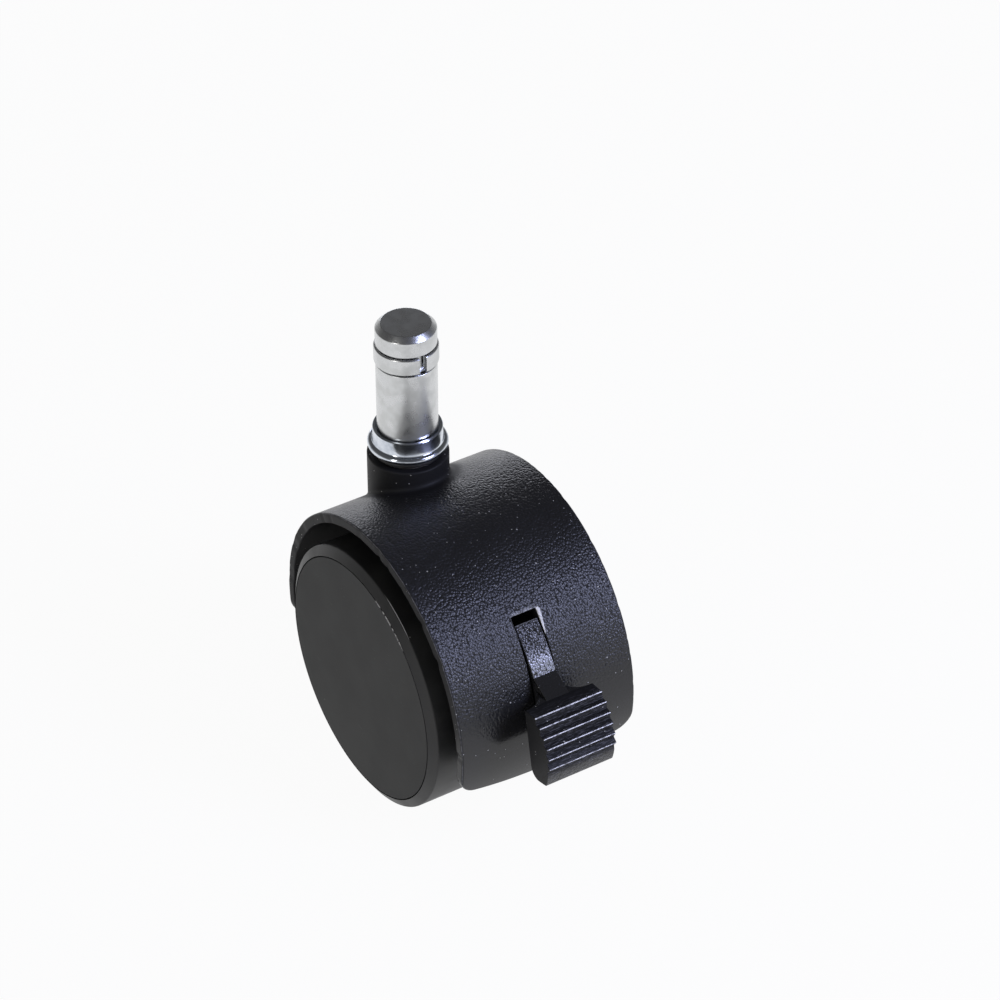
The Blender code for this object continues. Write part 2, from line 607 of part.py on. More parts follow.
def main():
    clear_scene()
    steel = make_material("zinc_plated_steel", (0.60, 0.61, 0.62), 0.35, 1.0)
    chrome = make_material("bright_plating", (0.78, 0.80, 0.83), 0.12, 1.0)
    plastic = make_material("grained_black_plastic", (0.020, 0.020, 0.024), 0.50, 0.0)
    wheel_plastic = make_material("smooth_black_plastic", (0.016, 0.016, 0.017), 0.32, 0.0)
    cap_plastic = make_material("satin_black_plastic", (0.030, 0.031, 0.031), 0.40, 0.0)
    nylon = make_material("natural_nylon", (0.62, 0.60, 0.54), 0.45, 0.0)
    black_nylon = make_material("black_nylon", (0.018, 0.018, 0.018), 0.50, 0.0)
    swivel = make_axis("swivel_axis", (0, 0, 0))
    axle_place = make_axis("axle_axis", (TRAIL, 0, -AXLE_DROP), swivel)
    pivot_place = make_axis("brake_axis", (PIVOT[0], 0, PIVOT[1]), axle_place)
    sides = (("left", 1), ("right", -1))
    build_stem(None, steel)
    build_collar(None, chrome)
    build_swivel_bearing(swivel, nylon, black_nylon)
    build_hood(axle_place, plastic)
    build_axle(axle_place, steel, sides)
    for name, side in sides:
        build_wheel(name, side, axle_place, wheel_plastic, cap_plastic, nylon)
    build_brake(axle_place, pivot_place, plastic, steel)
    bpy.context.view_layer.update()
    print("axle at x %.5f z %.5f" % (TRAIL, -AXLE_DROP))
    print("brake pivot at x %.5f z %.5f" % (TRAIL + PIVOT[0], PIVOT[1] - AXLE_DROP))
    print("brake lock angle %.3f degrees" % math.degrees(LOCK_ANGLE))


main()
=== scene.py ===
import json
import math

import bmesh
import bpy
from mathutils import Matrix, Vector, noise


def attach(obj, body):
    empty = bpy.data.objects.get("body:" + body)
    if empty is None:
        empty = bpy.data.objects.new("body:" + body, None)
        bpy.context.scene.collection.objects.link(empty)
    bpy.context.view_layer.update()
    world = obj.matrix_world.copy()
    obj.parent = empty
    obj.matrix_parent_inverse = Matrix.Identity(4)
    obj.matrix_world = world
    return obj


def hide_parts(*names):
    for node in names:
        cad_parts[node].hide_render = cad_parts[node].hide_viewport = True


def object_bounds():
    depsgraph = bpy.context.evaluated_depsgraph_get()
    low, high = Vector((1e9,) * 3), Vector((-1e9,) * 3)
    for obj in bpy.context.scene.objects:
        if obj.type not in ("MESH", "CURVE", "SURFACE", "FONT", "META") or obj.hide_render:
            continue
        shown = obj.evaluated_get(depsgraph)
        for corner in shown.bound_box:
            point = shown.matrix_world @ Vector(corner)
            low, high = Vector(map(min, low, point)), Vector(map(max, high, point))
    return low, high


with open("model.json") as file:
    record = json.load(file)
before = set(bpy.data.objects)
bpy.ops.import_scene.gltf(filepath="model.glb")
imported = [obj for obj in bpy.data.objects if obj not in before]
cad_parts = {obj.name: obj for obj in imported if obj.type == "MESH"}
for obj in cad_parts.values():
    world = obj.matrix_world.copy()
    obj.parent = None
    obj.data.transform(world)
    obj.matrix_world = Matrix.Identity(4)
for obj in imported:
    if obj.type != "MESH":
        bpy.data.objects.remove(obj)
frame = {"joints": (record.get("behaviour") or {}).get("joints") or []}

# Hooded twin-wheel chair caster: its finishes, its fine surfaces and the studio round it
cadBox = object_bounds()     # the solids' own box
millimetre = 0.001       # shapes are drawn in millimetres and scaled when they become pieces
jointAt = {joint["name"]: Vector(joint["pos_m"]) / millimetre for joint in frame["joints"]}
axleAt = jointAt["right_wheel_turn"]
pivotAt = jointAt["brake_press"] - axleAt          # brake pin, seen from the axle
pivot = (pivotAt.x, pivotAt.z)
bossAt = -axleAt.x                                 # swivel axis, seen from the axle
swivelAt = Vector((0, 0, 0))
print("frame loaded, axle at", tuple(round(value, 2) for value in axleAt), "mm")


# Small drawing helpers
def polar(radius, angle, centre=(0, 0)):
    return (centre[0] + radius * math.cos(angle), centre[1] + radius * math.sin(angle))


def spread(first, last, count):
    return [first + (last - first) * k / (count - 1) for k in range(count)]


def arc(radius, first, last, count, centre=(0, 0)):
    return [polar(radius, math.radians(angle), centre) for angle in spread(first, last, count)]


def between(stops, step):
    places = [stops[0]]                            # even places along a line, with every stop among them
    for low, high in zip(stops, stops[1:]):
        count = max(1, math.ceil((high - low) / step))
        places += [low + (high - low) * (k + 1) / count for k in range(count)]
    return places


def eased(value, low, high):
    t = min(1.0, max(0.0, (value - low) / (high - low)))
    return t * t * (3 - 2 * t)


def turned(point, angle, centre):
    x, z = point[0] - centre[0], point[1] - centre[1]
    c, s = math.cos(angle), math.sin(angle)
    return (centre[0] + x * c - z * s, centre[1] + x * s + z * c)


def roundedPath(corners, closed=True, steps=5):
    points = []                                    # corners are (a, b, rounding)
    last = len(corners) - 1
    for k, (a, b, rounding) in enumerate(corners):
        if rounding == 0 or (not closed and k in (0, last)):
            points.append((a, b))
            continue
        here = Vector((a, b))
        back = Vector(corners[k - 1][:2]) - here
        ahead = Vector(corners[(k + 1) % len(corners)][:2]) - here
        half = back.angle(ahead) / 2
        reach = min(rounding / math.tan(half), 0.49 * back.length, 0.49 * ahead.length)
        middle = (back.normalized() + ahead.normalized()).normalized()
        centre = here + middle * reach / math.cos(half)
        start = here + back.normalized() * reach
        sweep = math.pi - 2 * half
        if back.cross(ahead) > 0:
            sweep = -sweep
        points += [turned(start, angle, centre) for angle in spread(0, sweep, steps + 1)]
    return points


def lathe(profile, axis, segments):
    shape = bmesh.new()                            # (radius, height) points turned about an axis
    rings = []
    for radius, height in profile:
        ring = []
        for k in range(segments if radius > 0 else 1):
            a, b = polar(radius, math.tau * k / segments)
            ring.append(shape.verts.new((b, height, a) if axis == "y" else (a, b, height)))
        rings.append(ring)
    solid = len(rings[0]) == 1
    for ring, after in zip(rings, rings[1:] if solid else rings[1:] + rings[:1]):
        for k in range(segments):
            j = k + 1
            corners = (ring[k % len(ring)], ring[j % len(ring)], after[j % len(after)], after[k % len(after)])
            shape.faces.new(list(dict.fromkeys(corners)))
    return shape


def inset(outline, distance):
    points = []                                    # a counter-clockwise outline drawn in by a distance
    for k, point in enumerate(outline):
        here = Vector(point)
        before = (here - Vector(outline[k - 1])).normalized()
        after = (Vector(outline[(k + 1) % len(outline)]) - here).normalized()
        along = (before + after).normalized()
        reach = distance / max(0.5, along.dot(before))
        points.append((here.x - along.y * reach, here.y + along.x * reach))
    return points


def joinLoops(shape, one, other):
    for k in range(len(one)):
        j = (k + 1) % len(one)
        shape.faces.new((one[k], one[j], other[j], other[k]))


def slab(outline, half, edge=0.0, steps=4):
    area = sum(a[0] * b[1] - b[0] * a[1] for a, b in zip(outline, outline[1:] + outline[:1]))
    points = outline if area > 0 else outline[::-1]
    quarter = spread(0, math.pi / 2, steps + 1)
    rounds = [(edge * (1 - math.sin(t)), half - edge * (1 - math.cos(t))) for t in quarter]
    if edge == 0:
        rounds = [(0.0, half)]
    levels = rounds + [(drawnIn, -y) for drawnIn, y in reversed(rounds)]
    shape = bmesh.new()                            # an outline in X and Z, thick along Y, with rounded edges
    loops = [[shape.verts.new((x, y, z)) for x, z in inset(points, drawnIn)] for drawnIn, y in levels]
    for one, other in zip(loops, loops[1:]):
        joinLoops(shape, one, other)
    shape.faces.new(loops[0])
    shape.faces.new(loops[-1])
    return shape


def sector(inner, outer, low, high, count):
    return arc(outer, low, high, count) + arc(inner, high, low, count)


def moved(shape, x=0.0, z=0.0):
    bmesh.ops.translate(shape, verts=shape.verts, vec=(x, 0, z))
    return shape


def benchItem(shape):
    bmesh.ops.recalc_face_normals(shape, faces=shape.faces)
    mesh = bpy.data.meshes.new("bench")
    shape.to_mesh(mesh)
    shape.free()
    item = bpy.data.objects.new("bench", mesh)
    bpy.context.scene.collection.objects.link(item)
    return item


def combine(base, tool, operation):
    items = [benchItem(base), benchItem(tool)]     # two closed shapes joined, or one cut by the other
    work = items[0].modifiers.new("combine", "BOOLEAN")
    work.operation = operation
    work.solver = "EXACT"
    work.object = items[1]
    result = bmesh.new()
    result.from_object(items[0], bpy.context.evaluated_depsgraph_get())
    for item in items:
        mesh = item.data
        bpy.data.objects.remove(item)
        bpy.data.meshes.remove(mesh)
    return result


def newPiece(name, shape, body, node, slotName, place):
    bmesh.ops.recalc_face_normals(shape, faces=shape.faces)
    mesh = bpy.data.meshes.new(name)
    shape.to_mesh(mesh)
    shape.free()
    mesh.transform(Matrix.Scale(millimetre, 4) @ Matrix.Translation(place))
    mesh.shade_smooth()
    mesh.set_sharp_from_angle(angle=math.radians(38))
    mesh.materials.append(finishes[slotName])
    piece = bpy.data.objects.new(name, mesh)
    bpy.context.scene.collection.objects.link(piece)
    flats = piece.modifiers.new("flats", "WEIGHTED_NORMAL")   # flat faces stay flat beside rounded edges
    flats.keep_sharp = True
    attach(piece, body)
    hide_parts(node)
    return piece


def paint(piece, name, place, rule):
    marks = piece.data.attributes.new(name, "FLOAT", "POINT")   # a mark on each point, from its place in mm
    for vert, mark in zip(piece.data.vertices, marks.data):
        mark.value = rule(vert.co / millimetre - place)


# Finishes
def newFinish(name, colour, roughness, metallic=0.0, specular=0.5):
    finish = bpy.data.materials.new(name)
    finish.use_nodes = True
    shader = finish.node_tree.nodes["Principled BSDF"]
    shader.inputs["Base Color"].default_value = (*colour, 1.0)
    shader.inputs["Roughness"].default_value = roughness
    shader.inputs["Metallic"].default_value = metallic
    shader.inputs["Specular IOR Level"].default_value = specular
    return finish, finish.node_tree, shader


def addNode(tree, kind, inputs=None, **settings):
    node = tree.nodes.new(kind)
    for name, value in settings.items():
        setattr(node, name, value)
    for name, value in (inputs or {}).items():
        if isinstance(value, bpy.types.NodeSocket):
            tree.links.new(value, node.inputs[name])
        else:
            node.inputs[name].default_value = value
    return node


def calc(tree, operation, one, other=0.0):
    return addNode(tree, "ShaderNodeMath", {0: one, 1: other}, operation=operation).outputs[0]


def remap(tree, value, low, high, newLow, newHigh):
    limits = {"Value": value, "From Min": low, "From Max": high, "To Min": newLow, "To Max": newHigh}
    return addNode(tree, "ShaderNodeMapRange", limits, interpolation_type="SMOOTHSTEP").outputs["Result"]


def blendColour(tree, share, one, other):
    node = addNode(tree, "ShaderNodeMix", {"Factor": share}, data_type="RGBA")
    for socket, value in ((node.inputs[6], one), (node.inputs[7], other)):
        if isinstance(value, bpy.types.NodeSocket):
            tree.links.new(value, socket)
        else:
            socket.default_value = (*value, 1.0)
    return node.outputs[2]


def placeOn(tree):
    return addNode(tree, "ShaderNodeTexCoord").outputs["Object"]


def stretched(tree, place, scale, turn=(0, 0, 0)):
    return addNode(tree, "ShaderNodeMapping", {"Vector": place, "Scale": scale, "Rotation": turn}).outputs[0]


def vectorCalc(tree, operation, one, other):
    return addNode(tree, "ShaderNodeVectorMath", {0: one, 1: other}, operation=operation).outputs[0]


def mix(tree, share, one, other):
    return addNode(tree, "ShaderNodeMix", {"Factor": share, 2: one, 3: other}).outputs[0]


def cloud(tree, place, size, detail=2.0):
    settings = {"Vector": place, "Scale": 1 / (size * millimetre), "Detail": detail}
    return addNode(tree, "ShaderNodeTexNoise", settings)


def clouded(tree, place, size, detail, low, high, newLow=0.0, newHigh=1.0):
    return remap(tree, cloud(tree, place, size, detail).outputs["Fac"], low, high, newLow, newHigh)


def mark(tree, name):
    return addNode(tree, "ShaderNodeAttribute", attribute_name=name).outputs["Fac"]


def specks(tree, place, spacing, size, share):
    cells = addNode(tree, "ShaderNodeTexVoronoi", {"Vector": place, "Scale": 1 / (spacing * millimetre)})
    dot = remap(tree, cells.outputs["Distance"], size / spacing, 0.5 * size / spacing, 0.0, 1.0)
    chance = addNode(tree, "ShaderNodeSeparateColor", {"Color": cells.outputs["Color"]}).outputs[0]
    return calc(tree, "MULTIPLY", dot, calc(tree, "LESS_THAN", chance, share))


def dusting(tree, place, look):
    small, large = [specks(tree, place, *dots) for dots in look["dots"]]
    return calc(tree, "MULTIPLY", calc(tree, "MAXIMUM", small, large), look["dustShare"])


def scratches(tree, place, length, width, turn, share):
    lines = stretched(tree, place, (1 / (length * millimetre), 1, 1 / (width * millimetre)), (0, turn, 0))
    streak = addNode(tree, "ShaderNodeTexNoise", {"Vector": lines, "Scale": 1.0, "Detail": 1.0})
    return remap(tree, streak.outputs["Fac"], share, share + 0.03, 0.0, 1.0)


def scuffAndHighlightLine(tree, place, low, high):
    broken = clouded(tree, place, 0.9, 2.0, low, high)
    return calc(tree, "MULTIPLY", mark(tree, "scuffAndHighlight"), broken)       # a broken line where an edge is marked


def bumped(tree, shader, height, depth):
    settings = {"Height": height, "Distance": depth * millimetre, "Strength": 1.0}
    bump = addNode(tree, "ShaderNodeBump", settings)
    tree.links.new(bump.outputs[0], shader.inputs["Normal"])


grainLook = {
    # pale: pale scuffing and a painted highlight beside the slot's upper end
    # worn: light grey for rubbed edges and for the painted highlight along the pad's rib crests
    "black": (0.0115, 0.0115, 0.0125), "worn": (0.86, 0.86, 0.90), "paleScuffAndHighlight": (0.86, 0.86, 0.88),
    "dust": (0.66, 0.65, 0.62), "streak": (0.075, 0.075, 0.085),
    "cell": 0.46, "dome": 1.5, "wander": 0.12, "wanderSize": 0.7,    # the pebbles, in millimetres
    "fine": 0.16, "fineShare": 0.25, "depth": 0.047,
    "roughness": (0.31, 0.38), "patch": 9.0, "plain": 0.56, "sleek": 0.14, "polished": 0.12,
    "edgeRoughness": 0.30, "baseRoughness": 0.45,
    "specular": 0.47, "plainSpecular": 0.18, "sleekSpecular": 1.0,
    "wearSize": 0.8, "rubSize": 0.16, "rubStretch": (1.0, 0.12, 1.0), "mottleSize": 0.22,
    "dots": ((1.2, 0.11, 0.75), (3.6, 0.17, 0.90)), "dustShare": 0.8,    # crumbs: spacing, size, share
}


def makeGrainedPlastic(look):
    base = look["baseRoughness"]
    finish, tree, shader = newFinish("grainedPlastic", look["black"], base, specular=look["specular"])
    place = placeOn(tree)
    reach = look["wander"] * 2 * millimetre
    sway = cloud(tree, place, look["wanderSize"]).outputs["Color"]
    drift = vectorCalc(tree, "SUBTRACT", sway, (0.5, 0.5, 0.5))
    pebbleAt = vectorCalc(tree, "ADD", place, vectorCalc(tree, "MULTIPLY", drift, (reach, reach, reach)))
    pebbles = {"Vector": pebbleAt, "Scale": 1 / (look["cell"] * millimetre)}
    cells = addNode(tree, "ShaderNodeTexVoronoi", pebbles)
    fromTop = calc(tree, "MULTIPLY", cells.outputs["Distance"], look["dome"])  # domes with creases between
    fine = calc(tree, "MULTIPLY", cloud(tree, place, look["fine"], 1.0).outputs["Fac"], look["fineShare"])
    height = calc(tree, "SUBTRACT", fine, calc(tree, "POWER", fromTop, 2.0))
    grain = mark(tree, "grain")
    polish = mark(tree, "polish")                  # where the grain runs out into a smooth skin
    left = calc(tree, "POWER", calc(tree, "SUBTRACT", 1.0, polish), 2.0)
    relief = calc(tree, "MULTIPLY", grain, left)
    bumped(tree, shader, calc(tree, "MULTIPLY", height, relief), look["depth"])
    sleekPart = mark(tree, "sleek")
    gloss = mix(tree, grain, look["plainSpecular"], look["specular"])
    gloss = mix(tree, sleekPart, gloss, look["sleekSpecular"])
    tree.links.new(gloss, shader.inputs["Specular IOR Level"])
    # the edge mark: rubbed wear on the hood's edges and the arm's tip, and a painted highlight along the
    # pad's rib crests
    edge = mark(tree, "edge")
    wearAndCrestHighlight = calc(tree, "MULTIPLY", edge, clouded(tree, place, look["wearSize"], 3.0, 0.32, 0.60, 0.25, 1.0))
    along = stretched(tree, place, look["rubStretch"])               # rubbing across the pad's ribs
    rubAndHighlightLine = clouded(tree, along, look["rubSize"], 3.0, 0.48, 0.70)
    streaked = calc(tree, "MULTIPLY", rubAndHighlightLine, mark(tree, "streak"))
    # the light worn grey over rubbed edges and over the painted highlight on the rib crests
    worn = blendColour(tree, wearAndCrestHighlight, blendColour(tree, streaked, look["black"], look["streak"]), look["worn"])
    mottled = clouded(tree, place, look["mottleSize"], 2.0, 0.30, 0.55, 0.35, 1.0)
    # pale scuffing mixed with a painted highlight beside the slot's upper end
    paleScuffAndHighlightMix = blendColour(tree, calc(tree, "MULTIPLY", mark(tree, "paleScuffAndHighlight"), mottled), worn, look["paleScuffAndHighlight"])
    dusty = blendColour(tree, dusting(tree, place, look), paleScuffAndHighlightMix, look["dust"])
    tree.links.new(dusty, shader.inputs["Base Color"])
    patchy = clouded(tree, place, look["patch"], 3.0, 0.3, 0.7, *look["roughness"])
    rough = mix(tree, grain, look["plain"], patchy)
    rough = mix(tree, polish, rough, look["polished"])
    rough = mix(tree, sleekPart, rough, look["sleek"])
    rough = mix(tree, edge, rough, look["edgeRoughness"])
    tree.links.new(rough, shader.inputs["Roughness"])
    return finish


# scuff: the light colour of the painted highlight along the tread's outer corner
wheelLook = {"black": (0.0110, 0.0110, 0.0115), "dusty": (0.020, 0.020, 0.0195), "dust": (0.45, 0.44, 0.42),
             "scuffAndHighlight": (0.85, 0.85, 0.87), "roughness": (0.44, 0.51), "baseRoughness": 0.3, "specular": 0.36,
             "hazeSize": 6.0, "dots": ((2.6, 0.10, 0.40), (5.0, 0.15, 0.40)), "dustShare": 0.6,
             "broken": (0.22, 0.42), "waveSize": 0.35, "waveDepth": 0.0015}


def makeWheelPlastic(look):
    base = look["baseRoughness"]
    finish, tree, shader = newFinish("wheelPlastic", look["black"], base, specular=look["specular"])
    place = placeOn(tree)
    haze = clouded(tree, place, look["hazeSize"], 4.0, 0.35, 0.7)
    dull = blendColour(tree, haze, look["black"], look["dusty"])
    dusty = blendColour(tree, dusting(tree, place, look), dull, look["dust"])
    # a painted highlight line along the tread's outer corner
    rubAndHighlightLine = scuffAndHighlightLine(tree, place, *look["broken"])
    tree.links.new(blendColour(tree, rubAndHighlightLine, dusty, look["scuffAndHighlight"]), shader.inputs["Base Color"])
    tree.links.new(remap(tree, haze, 0.0, 1.0, *look["roughness"]), shader.inputs["Roughness"])
    bumped(tree, shader, cloud(tree, place, look["waveSize"]).outputs["Fac"], look["waveDepth"])
    return finish


capLook = {"black": (0.0140, 0.0143, 0.0141), "scratch": (0.13, 0.13, 0.125), "dust": (0.5, 0.49, 0.46),
           "scuffAndHighlight": (0.75, 0.74, 0.72), "roughness": (0.43, 0.46), "baseRoughness": 0.44, "specular": 0.10,
           "lines": ((2.6, 0.07, 0.9, 0.74), (1.2, 0.06, -0.4, 0.77)),   # length, width, turn, share
           "lineShare": 0.5, "dots": ((2.8, 0.10, 0.45), (5.0, 0.15, 0.50)), "dustShare": 0.6,
           "broken": (0.42, 0.56), "hazeSize": 8.0, "waveSize": 0.22, "waveDepth": 0.0022}


def makeCapPlastic(look):
    base = look["baseRoughness"]
    finish, tree, shader = newFinish("capPlastic", look["black"], base, specular=look["specular"])
    place = placeOn(tree)
    long, short = [scratches(tree, place, *line) for line in look["lines"]]
    marked = calc(tree, "MAXIMUM", long, short)
    shown = calc(tree, "MULTIPLY", marked, look["lineShare"])
    gouged = blendColour(tree, shown, look["black"], look["scratch"])
    dusty = blendColour(tree, dusting(tree, place, look), gouged, look["dust"])
    rubAndHighlightLine = scuffAndHighlightLine(tree, place, *look["broken"])
    tree.links.new(blendColour(tree, rubAndHighlightLine, dusty, look["scuffAndHighlight"]), shader.inputs["Base Color"])
    haze = clouded(tree, place, look["hazeSize"], 3.0, 0.3, 0.7, *look["roughness"])
    tree.links.new(haze, shader.inputs["Roughness"])
    fine = calc(tree, "SUBTRACT", cloud(tree, place, look["waveSize"]).outputs["Fac"], marked)
    bumped(tree, shader, fine, look["waveDepth"])
    return finish


metalLook = {
    "brightPlating": {"colour": (0.68, 0.72, 0.78), "dull": (0.48, 0.52, 0.59), "roughness": (0.12, 0.21),
                      "lines": 0.0012},
    "zincSteel": {"colour": (0.62, 0.63, 0.64), "dull": (0.55, 0.56, 0.56), "roughness": (0.27, 0.35),
                  "lines": 0.0020},
}
metalSkin = {"baseRoughness": 0.2, "cloudSize": 2.4, "turning": (300.0, 300.0, 9000.0)}


def makeMetal(name, look):
    finish, tree, shader = newFinish(name, look["colour"], metalSkin["baseRoughness"], metallic=1.0)
    place = placeOn(tree)
    cloudy = clouded(tree, place, metalSkin["cloudSize"], 4.0, 0.35, 0.7)
    tree.links.new(blendColour(tree, cloudy, look["colour"], look["dull"]), shader.inputs["Base Color"])
    tree.links.new(remap(tree, cloudy, 0.0, 1.0, *look["roughness"]), shader.inputs["Roughness"])
    turning = stretched(tree, place, metalSkin["turning"])           # fine lines round a turned pin
    lines = addNode(tree, "ShaderNodeTexNoise", {"Vector": turning, "Scale": 1.0, "Detail": 2.0})
    bumped(tree, shader, lines.outputs["Fac"], look["lines"])
    return finish


nylonLook = {
    "naturalNylon": {"colour": (0.62, 0.60, 0.54), "shade": (0.52, 0.50, 0.44), "roughness": (0.40, 0.52)},
    "blackNylon": {"colour": (0.016, 0.016, 0.016), "shade": (0.024, 0.024, 0.023),
                   "roughness": (0.42, 0.55)},
}
nylonSkin = {"baseRoughness": 0.45, "flowSize": 3.0, "waveSize": 0.3, "waveDepth": 0.003}


def makeNylon(name, look):
    finish, tree, shader = newFinish(name, look["colour"], nylonSkin["baseRoughness"])
    place = placeOn(tree)
    flow = clouded(tree, place, nylonSkin["flowSize"], 4.0, 0.3, 0.7)
    tree.links.new(blendColour(tree, flow, look["colour"], look["shade"]), shader.inputs["Base Color"])
    tree.links.new(remap(tree, flow, 0.0, 1.0, *look["roughness"]), shader.inputs["Roughness"])
    bumped(tree, shader, cloud(tree, place, nylonSkin["waveSize"]).outputs["Fac"], nylonSkin["waveDepth"])
    return finish


finishes = {
    "grained_plastic": makeGrainedPlastic(grainLook),
    "wheel_plastic": makeWheelPlastic(wheelLook),
    "cap_plastic": makeCapPlastic(capLook),
    "bright_plating": makeMetal("brightPlating", metalLook["brightPlating"]),
    "zinc_steel": makeMetal("zincSteel", metalLook["zincSteel"]),
    "natural_nylon": makeNylon("naturalNylon", nylonLook["naturalNylon"]),
    "black_nylon": makeNylon("blackNylon", nylonLook["blackNylon"]),
}
print("finishes made:", ", ".join(finishes))

# Hood: a bowed sheet over both wheels, with the boss, the brake slot and the web inside
hood = {
    "outer": 30.35, "inner": 28.45, "half": 18.0,                # radii and half width
    "endDrop": 9.1, "endBow": 2.6, "endCorner": 3.0,             # end edges, below the axle
    "outerEdge": 0.35, "innerEdge": 0.25, "edgeSteps": 4,
    "nick": 0.42, "nickPitch": 1.7, "nickLevel": 0.12,          # moulding nicks along the side edges
    "polish": 0.75, "polishLow": 2.0, "polishHigh": 21.0,       # where the grain runs out, in degrees
    "rowStep": 1.1, "endRows": 8, "columnStep": 0.85, "cornerColumns": 7,
}
boss = {"radius": 7.4, "top": 32.5, "fillet": 0.9, "edge": 0.35, "patchLow": 99.0, "patchHigh": 149.0,
        "patchHalf": 10.0, "approach": (0.3, 0.6, 0.85), "filletSteps": 7,
        "lowerRadius": 7.3, "lowerEnd": 11.8, "lowerTop": 29.5, "lowerEdge": 0.6}
slot = {"low": 2.67, "high": 44.28, "half": 2.6, "edge": 0.15,
        "worn": 0.85, "wornDepth": 0.45, "wornLength": 5.0}
web = {"half": 5.1, "outer": 29.4, "notch": 24.6, "notchAngle": 20.67, "drop": 4.0, "edge": 0.25,
       "hubRadius": 7.5, "hubHalf": 7.4, "hubEdge": 0.5, "axleHole": 3.3, "pinHole": 1.8,
       "pocketHalf": 2.8, "pocketInner": 8.5, "pocketOuter": 27.95, "pocketLow": -35.0, "pocketHigh": 100.0}
socket = {"mouth": 6.2, "radius": 5.7, "step": 17.2, "chamber": 5.3, "floor": 13.8,
          "clear": 33.5, "clearRadius": 7.0}       # the cutter ends above the boss

slotSpare = math.degrees(slot["edge"] / hood["outer"])
rowStops = [0, slot["low"] - slotSpare, slot["high"] + slotSpare, boss["patchLow"], boss["patchHigh"], 180]
middleRows = [(math.radians(angle), 0.0) for angle in between(rowStops, hood["rowStep"])]
endShares = [k / hood["endRows"] for k in range(1, hood["endRows"] + 1)]
frontRows = [(0.0, -share) for share in reversed(endShares)]
hoodRows = frontRows + middleRows + [(math.pi, share) for share in endShares]
plainHalf = hood["half"] - hood["endCorner"]
slotEdgeHalf = slot["half"] + slot["edge"]
columnStops = [-plainHalf, -boss["patchHalf"], -slotEdgeHalf, slotEdgeHalf, boss["patchHalf"], plainHalf]
cornerTurns = [math.pi / 2 * k / hood["cornerColumns"] for k in range(1, hood["cornerColumns"] + 1)]
hoodColumns = ([(-plainHalf, -turn) for turn in reversed(cornerTurns)]
               + [(y, 0.0) for y in between(columnStops, hood["columnStep"])]
               + [(plainHalf, turn) for turn in cornerTurns])


def hoodPoint(row, column, radius, drawnIn):
    angle, share = row                             # a point of the sheet whose edge is drawn in a little
    y, turn = column
    corner = hood["endCorner"] - drawnIn
    y += corner * math.sin(turn)
    end = hood["endDrop"] - drawnIn - hood["endBow"] * (y / hood["half"]) ** 2 - corner * (1 - math.cos(turn))
    x, z = polar(radius, angle + share * end / hood["outer"])
    return (x, y, z)


def nearest(places, value):
    return min(range(len(places)), key=lambda k: abs(places[k][0] - value) + abs(places[k][1]))


def rowAt(degrees):
    return nearest(hoodRows, math.radians(degrees))


def columnAt(y):
    return nearest(hoodColumns, y)


def loopRound(area):
    low, high, left, right = area                  # places of the sheet's grid round one of its areas
    return ([(low, k) for k in range(left, right)] + [(i, right) for i in range(low, high)]
            + [(high, k) for k in range(right, left, -1)] + [(i, left) for i in range(high, low, -1)])


wholeSheet = (0, len(hoodRows) - 1, 0, len(hoodColumns) - 1)
bossArea = (rowAt(boss["patchLow"]), rowAt(boss["patchHigh"]),
            columnAt(-boss["patchHalf"]), columnAt(boss["patchHalf"]))
slotArea = (rowAt(rowStops[1]), rowAt(rowStops[2]), columnAt(-slotEdgeHalf), columnAt(slotEdgeHalf))


def nickDepth(row, column):
    if abs(column[1]) < 1.5 or row[1] != 0:        # only along the straight sides
        return 0.0
    along = row[0] * hood["outer"] / hood["nickPitch"]
    return hood["nick"] * max(0.0, noise.noise((along, column[1] * 5.3, 0.7)) - hood["nickLevel"])


def hoodSheets(shape):
    sheets = []
    for radius, drawnIn in ((hood["outer"], hood["outerEdge"]), (hood["inner"], hood["innerEdge"])):
        sheets.append([[shape.verts.new(hoodPoint(row, column, radius, drawnIn)) for column in hoodColumns]
                       for row in hoodRows])
    for sheet, openings in zip(sheets, ((bossArea, slotArea), (slotArea,))):
        for i in range(len(hoodRows) - 1):
            for k in range(len(hoodColumns) - 1):
                if not any(a[0] <= i < a[1] and a[2] <= k < a[3] for a in openings):
                    shape.faces.new((sheet[i][k], sheet[i][k + 1], sheet[i + 1][k + 1], sheet[i + 1][k]))
    return sheets


def hoodRim(shape, outer, inner):
    places = loopRound(wholeSheet)
    quarter = spread(0, math.pi / 2, hood["edgeSteps"] + 1)
    first, last = hood["outerEdge"], hood["innerEdge"]
    levels = [(hood["outer"] - first * (1 - math.cos(t)), first * (1 - math.sin(t))) for t in quarter[1:]]
    levels += [(hood["inner"] + last * (1 - math.sin(t)), last * (1 - math.cos(t))) for t in quarter[:-1]]
    loop = [outer[i][k] for i, k in places]
    for step, (radius, drawnIn) in enumerate(levels):
        depth = min(1.0, (step + 1) / hood["edgeSteps"])
        ring = []
        for i, k in places:
            nicked = drawnIn + depth * nickDepth(hoodRows[i], hoodColumns[k])
            ring.append(shape.verts.new(hoodPoint(hoodRows[i], hoodColumns[k], radius, nicked)))
        joinLoops(shape, loop, ring)
        loop = ring
    joinLoops(shape, loop, [inner[i][k] for i, k in places])


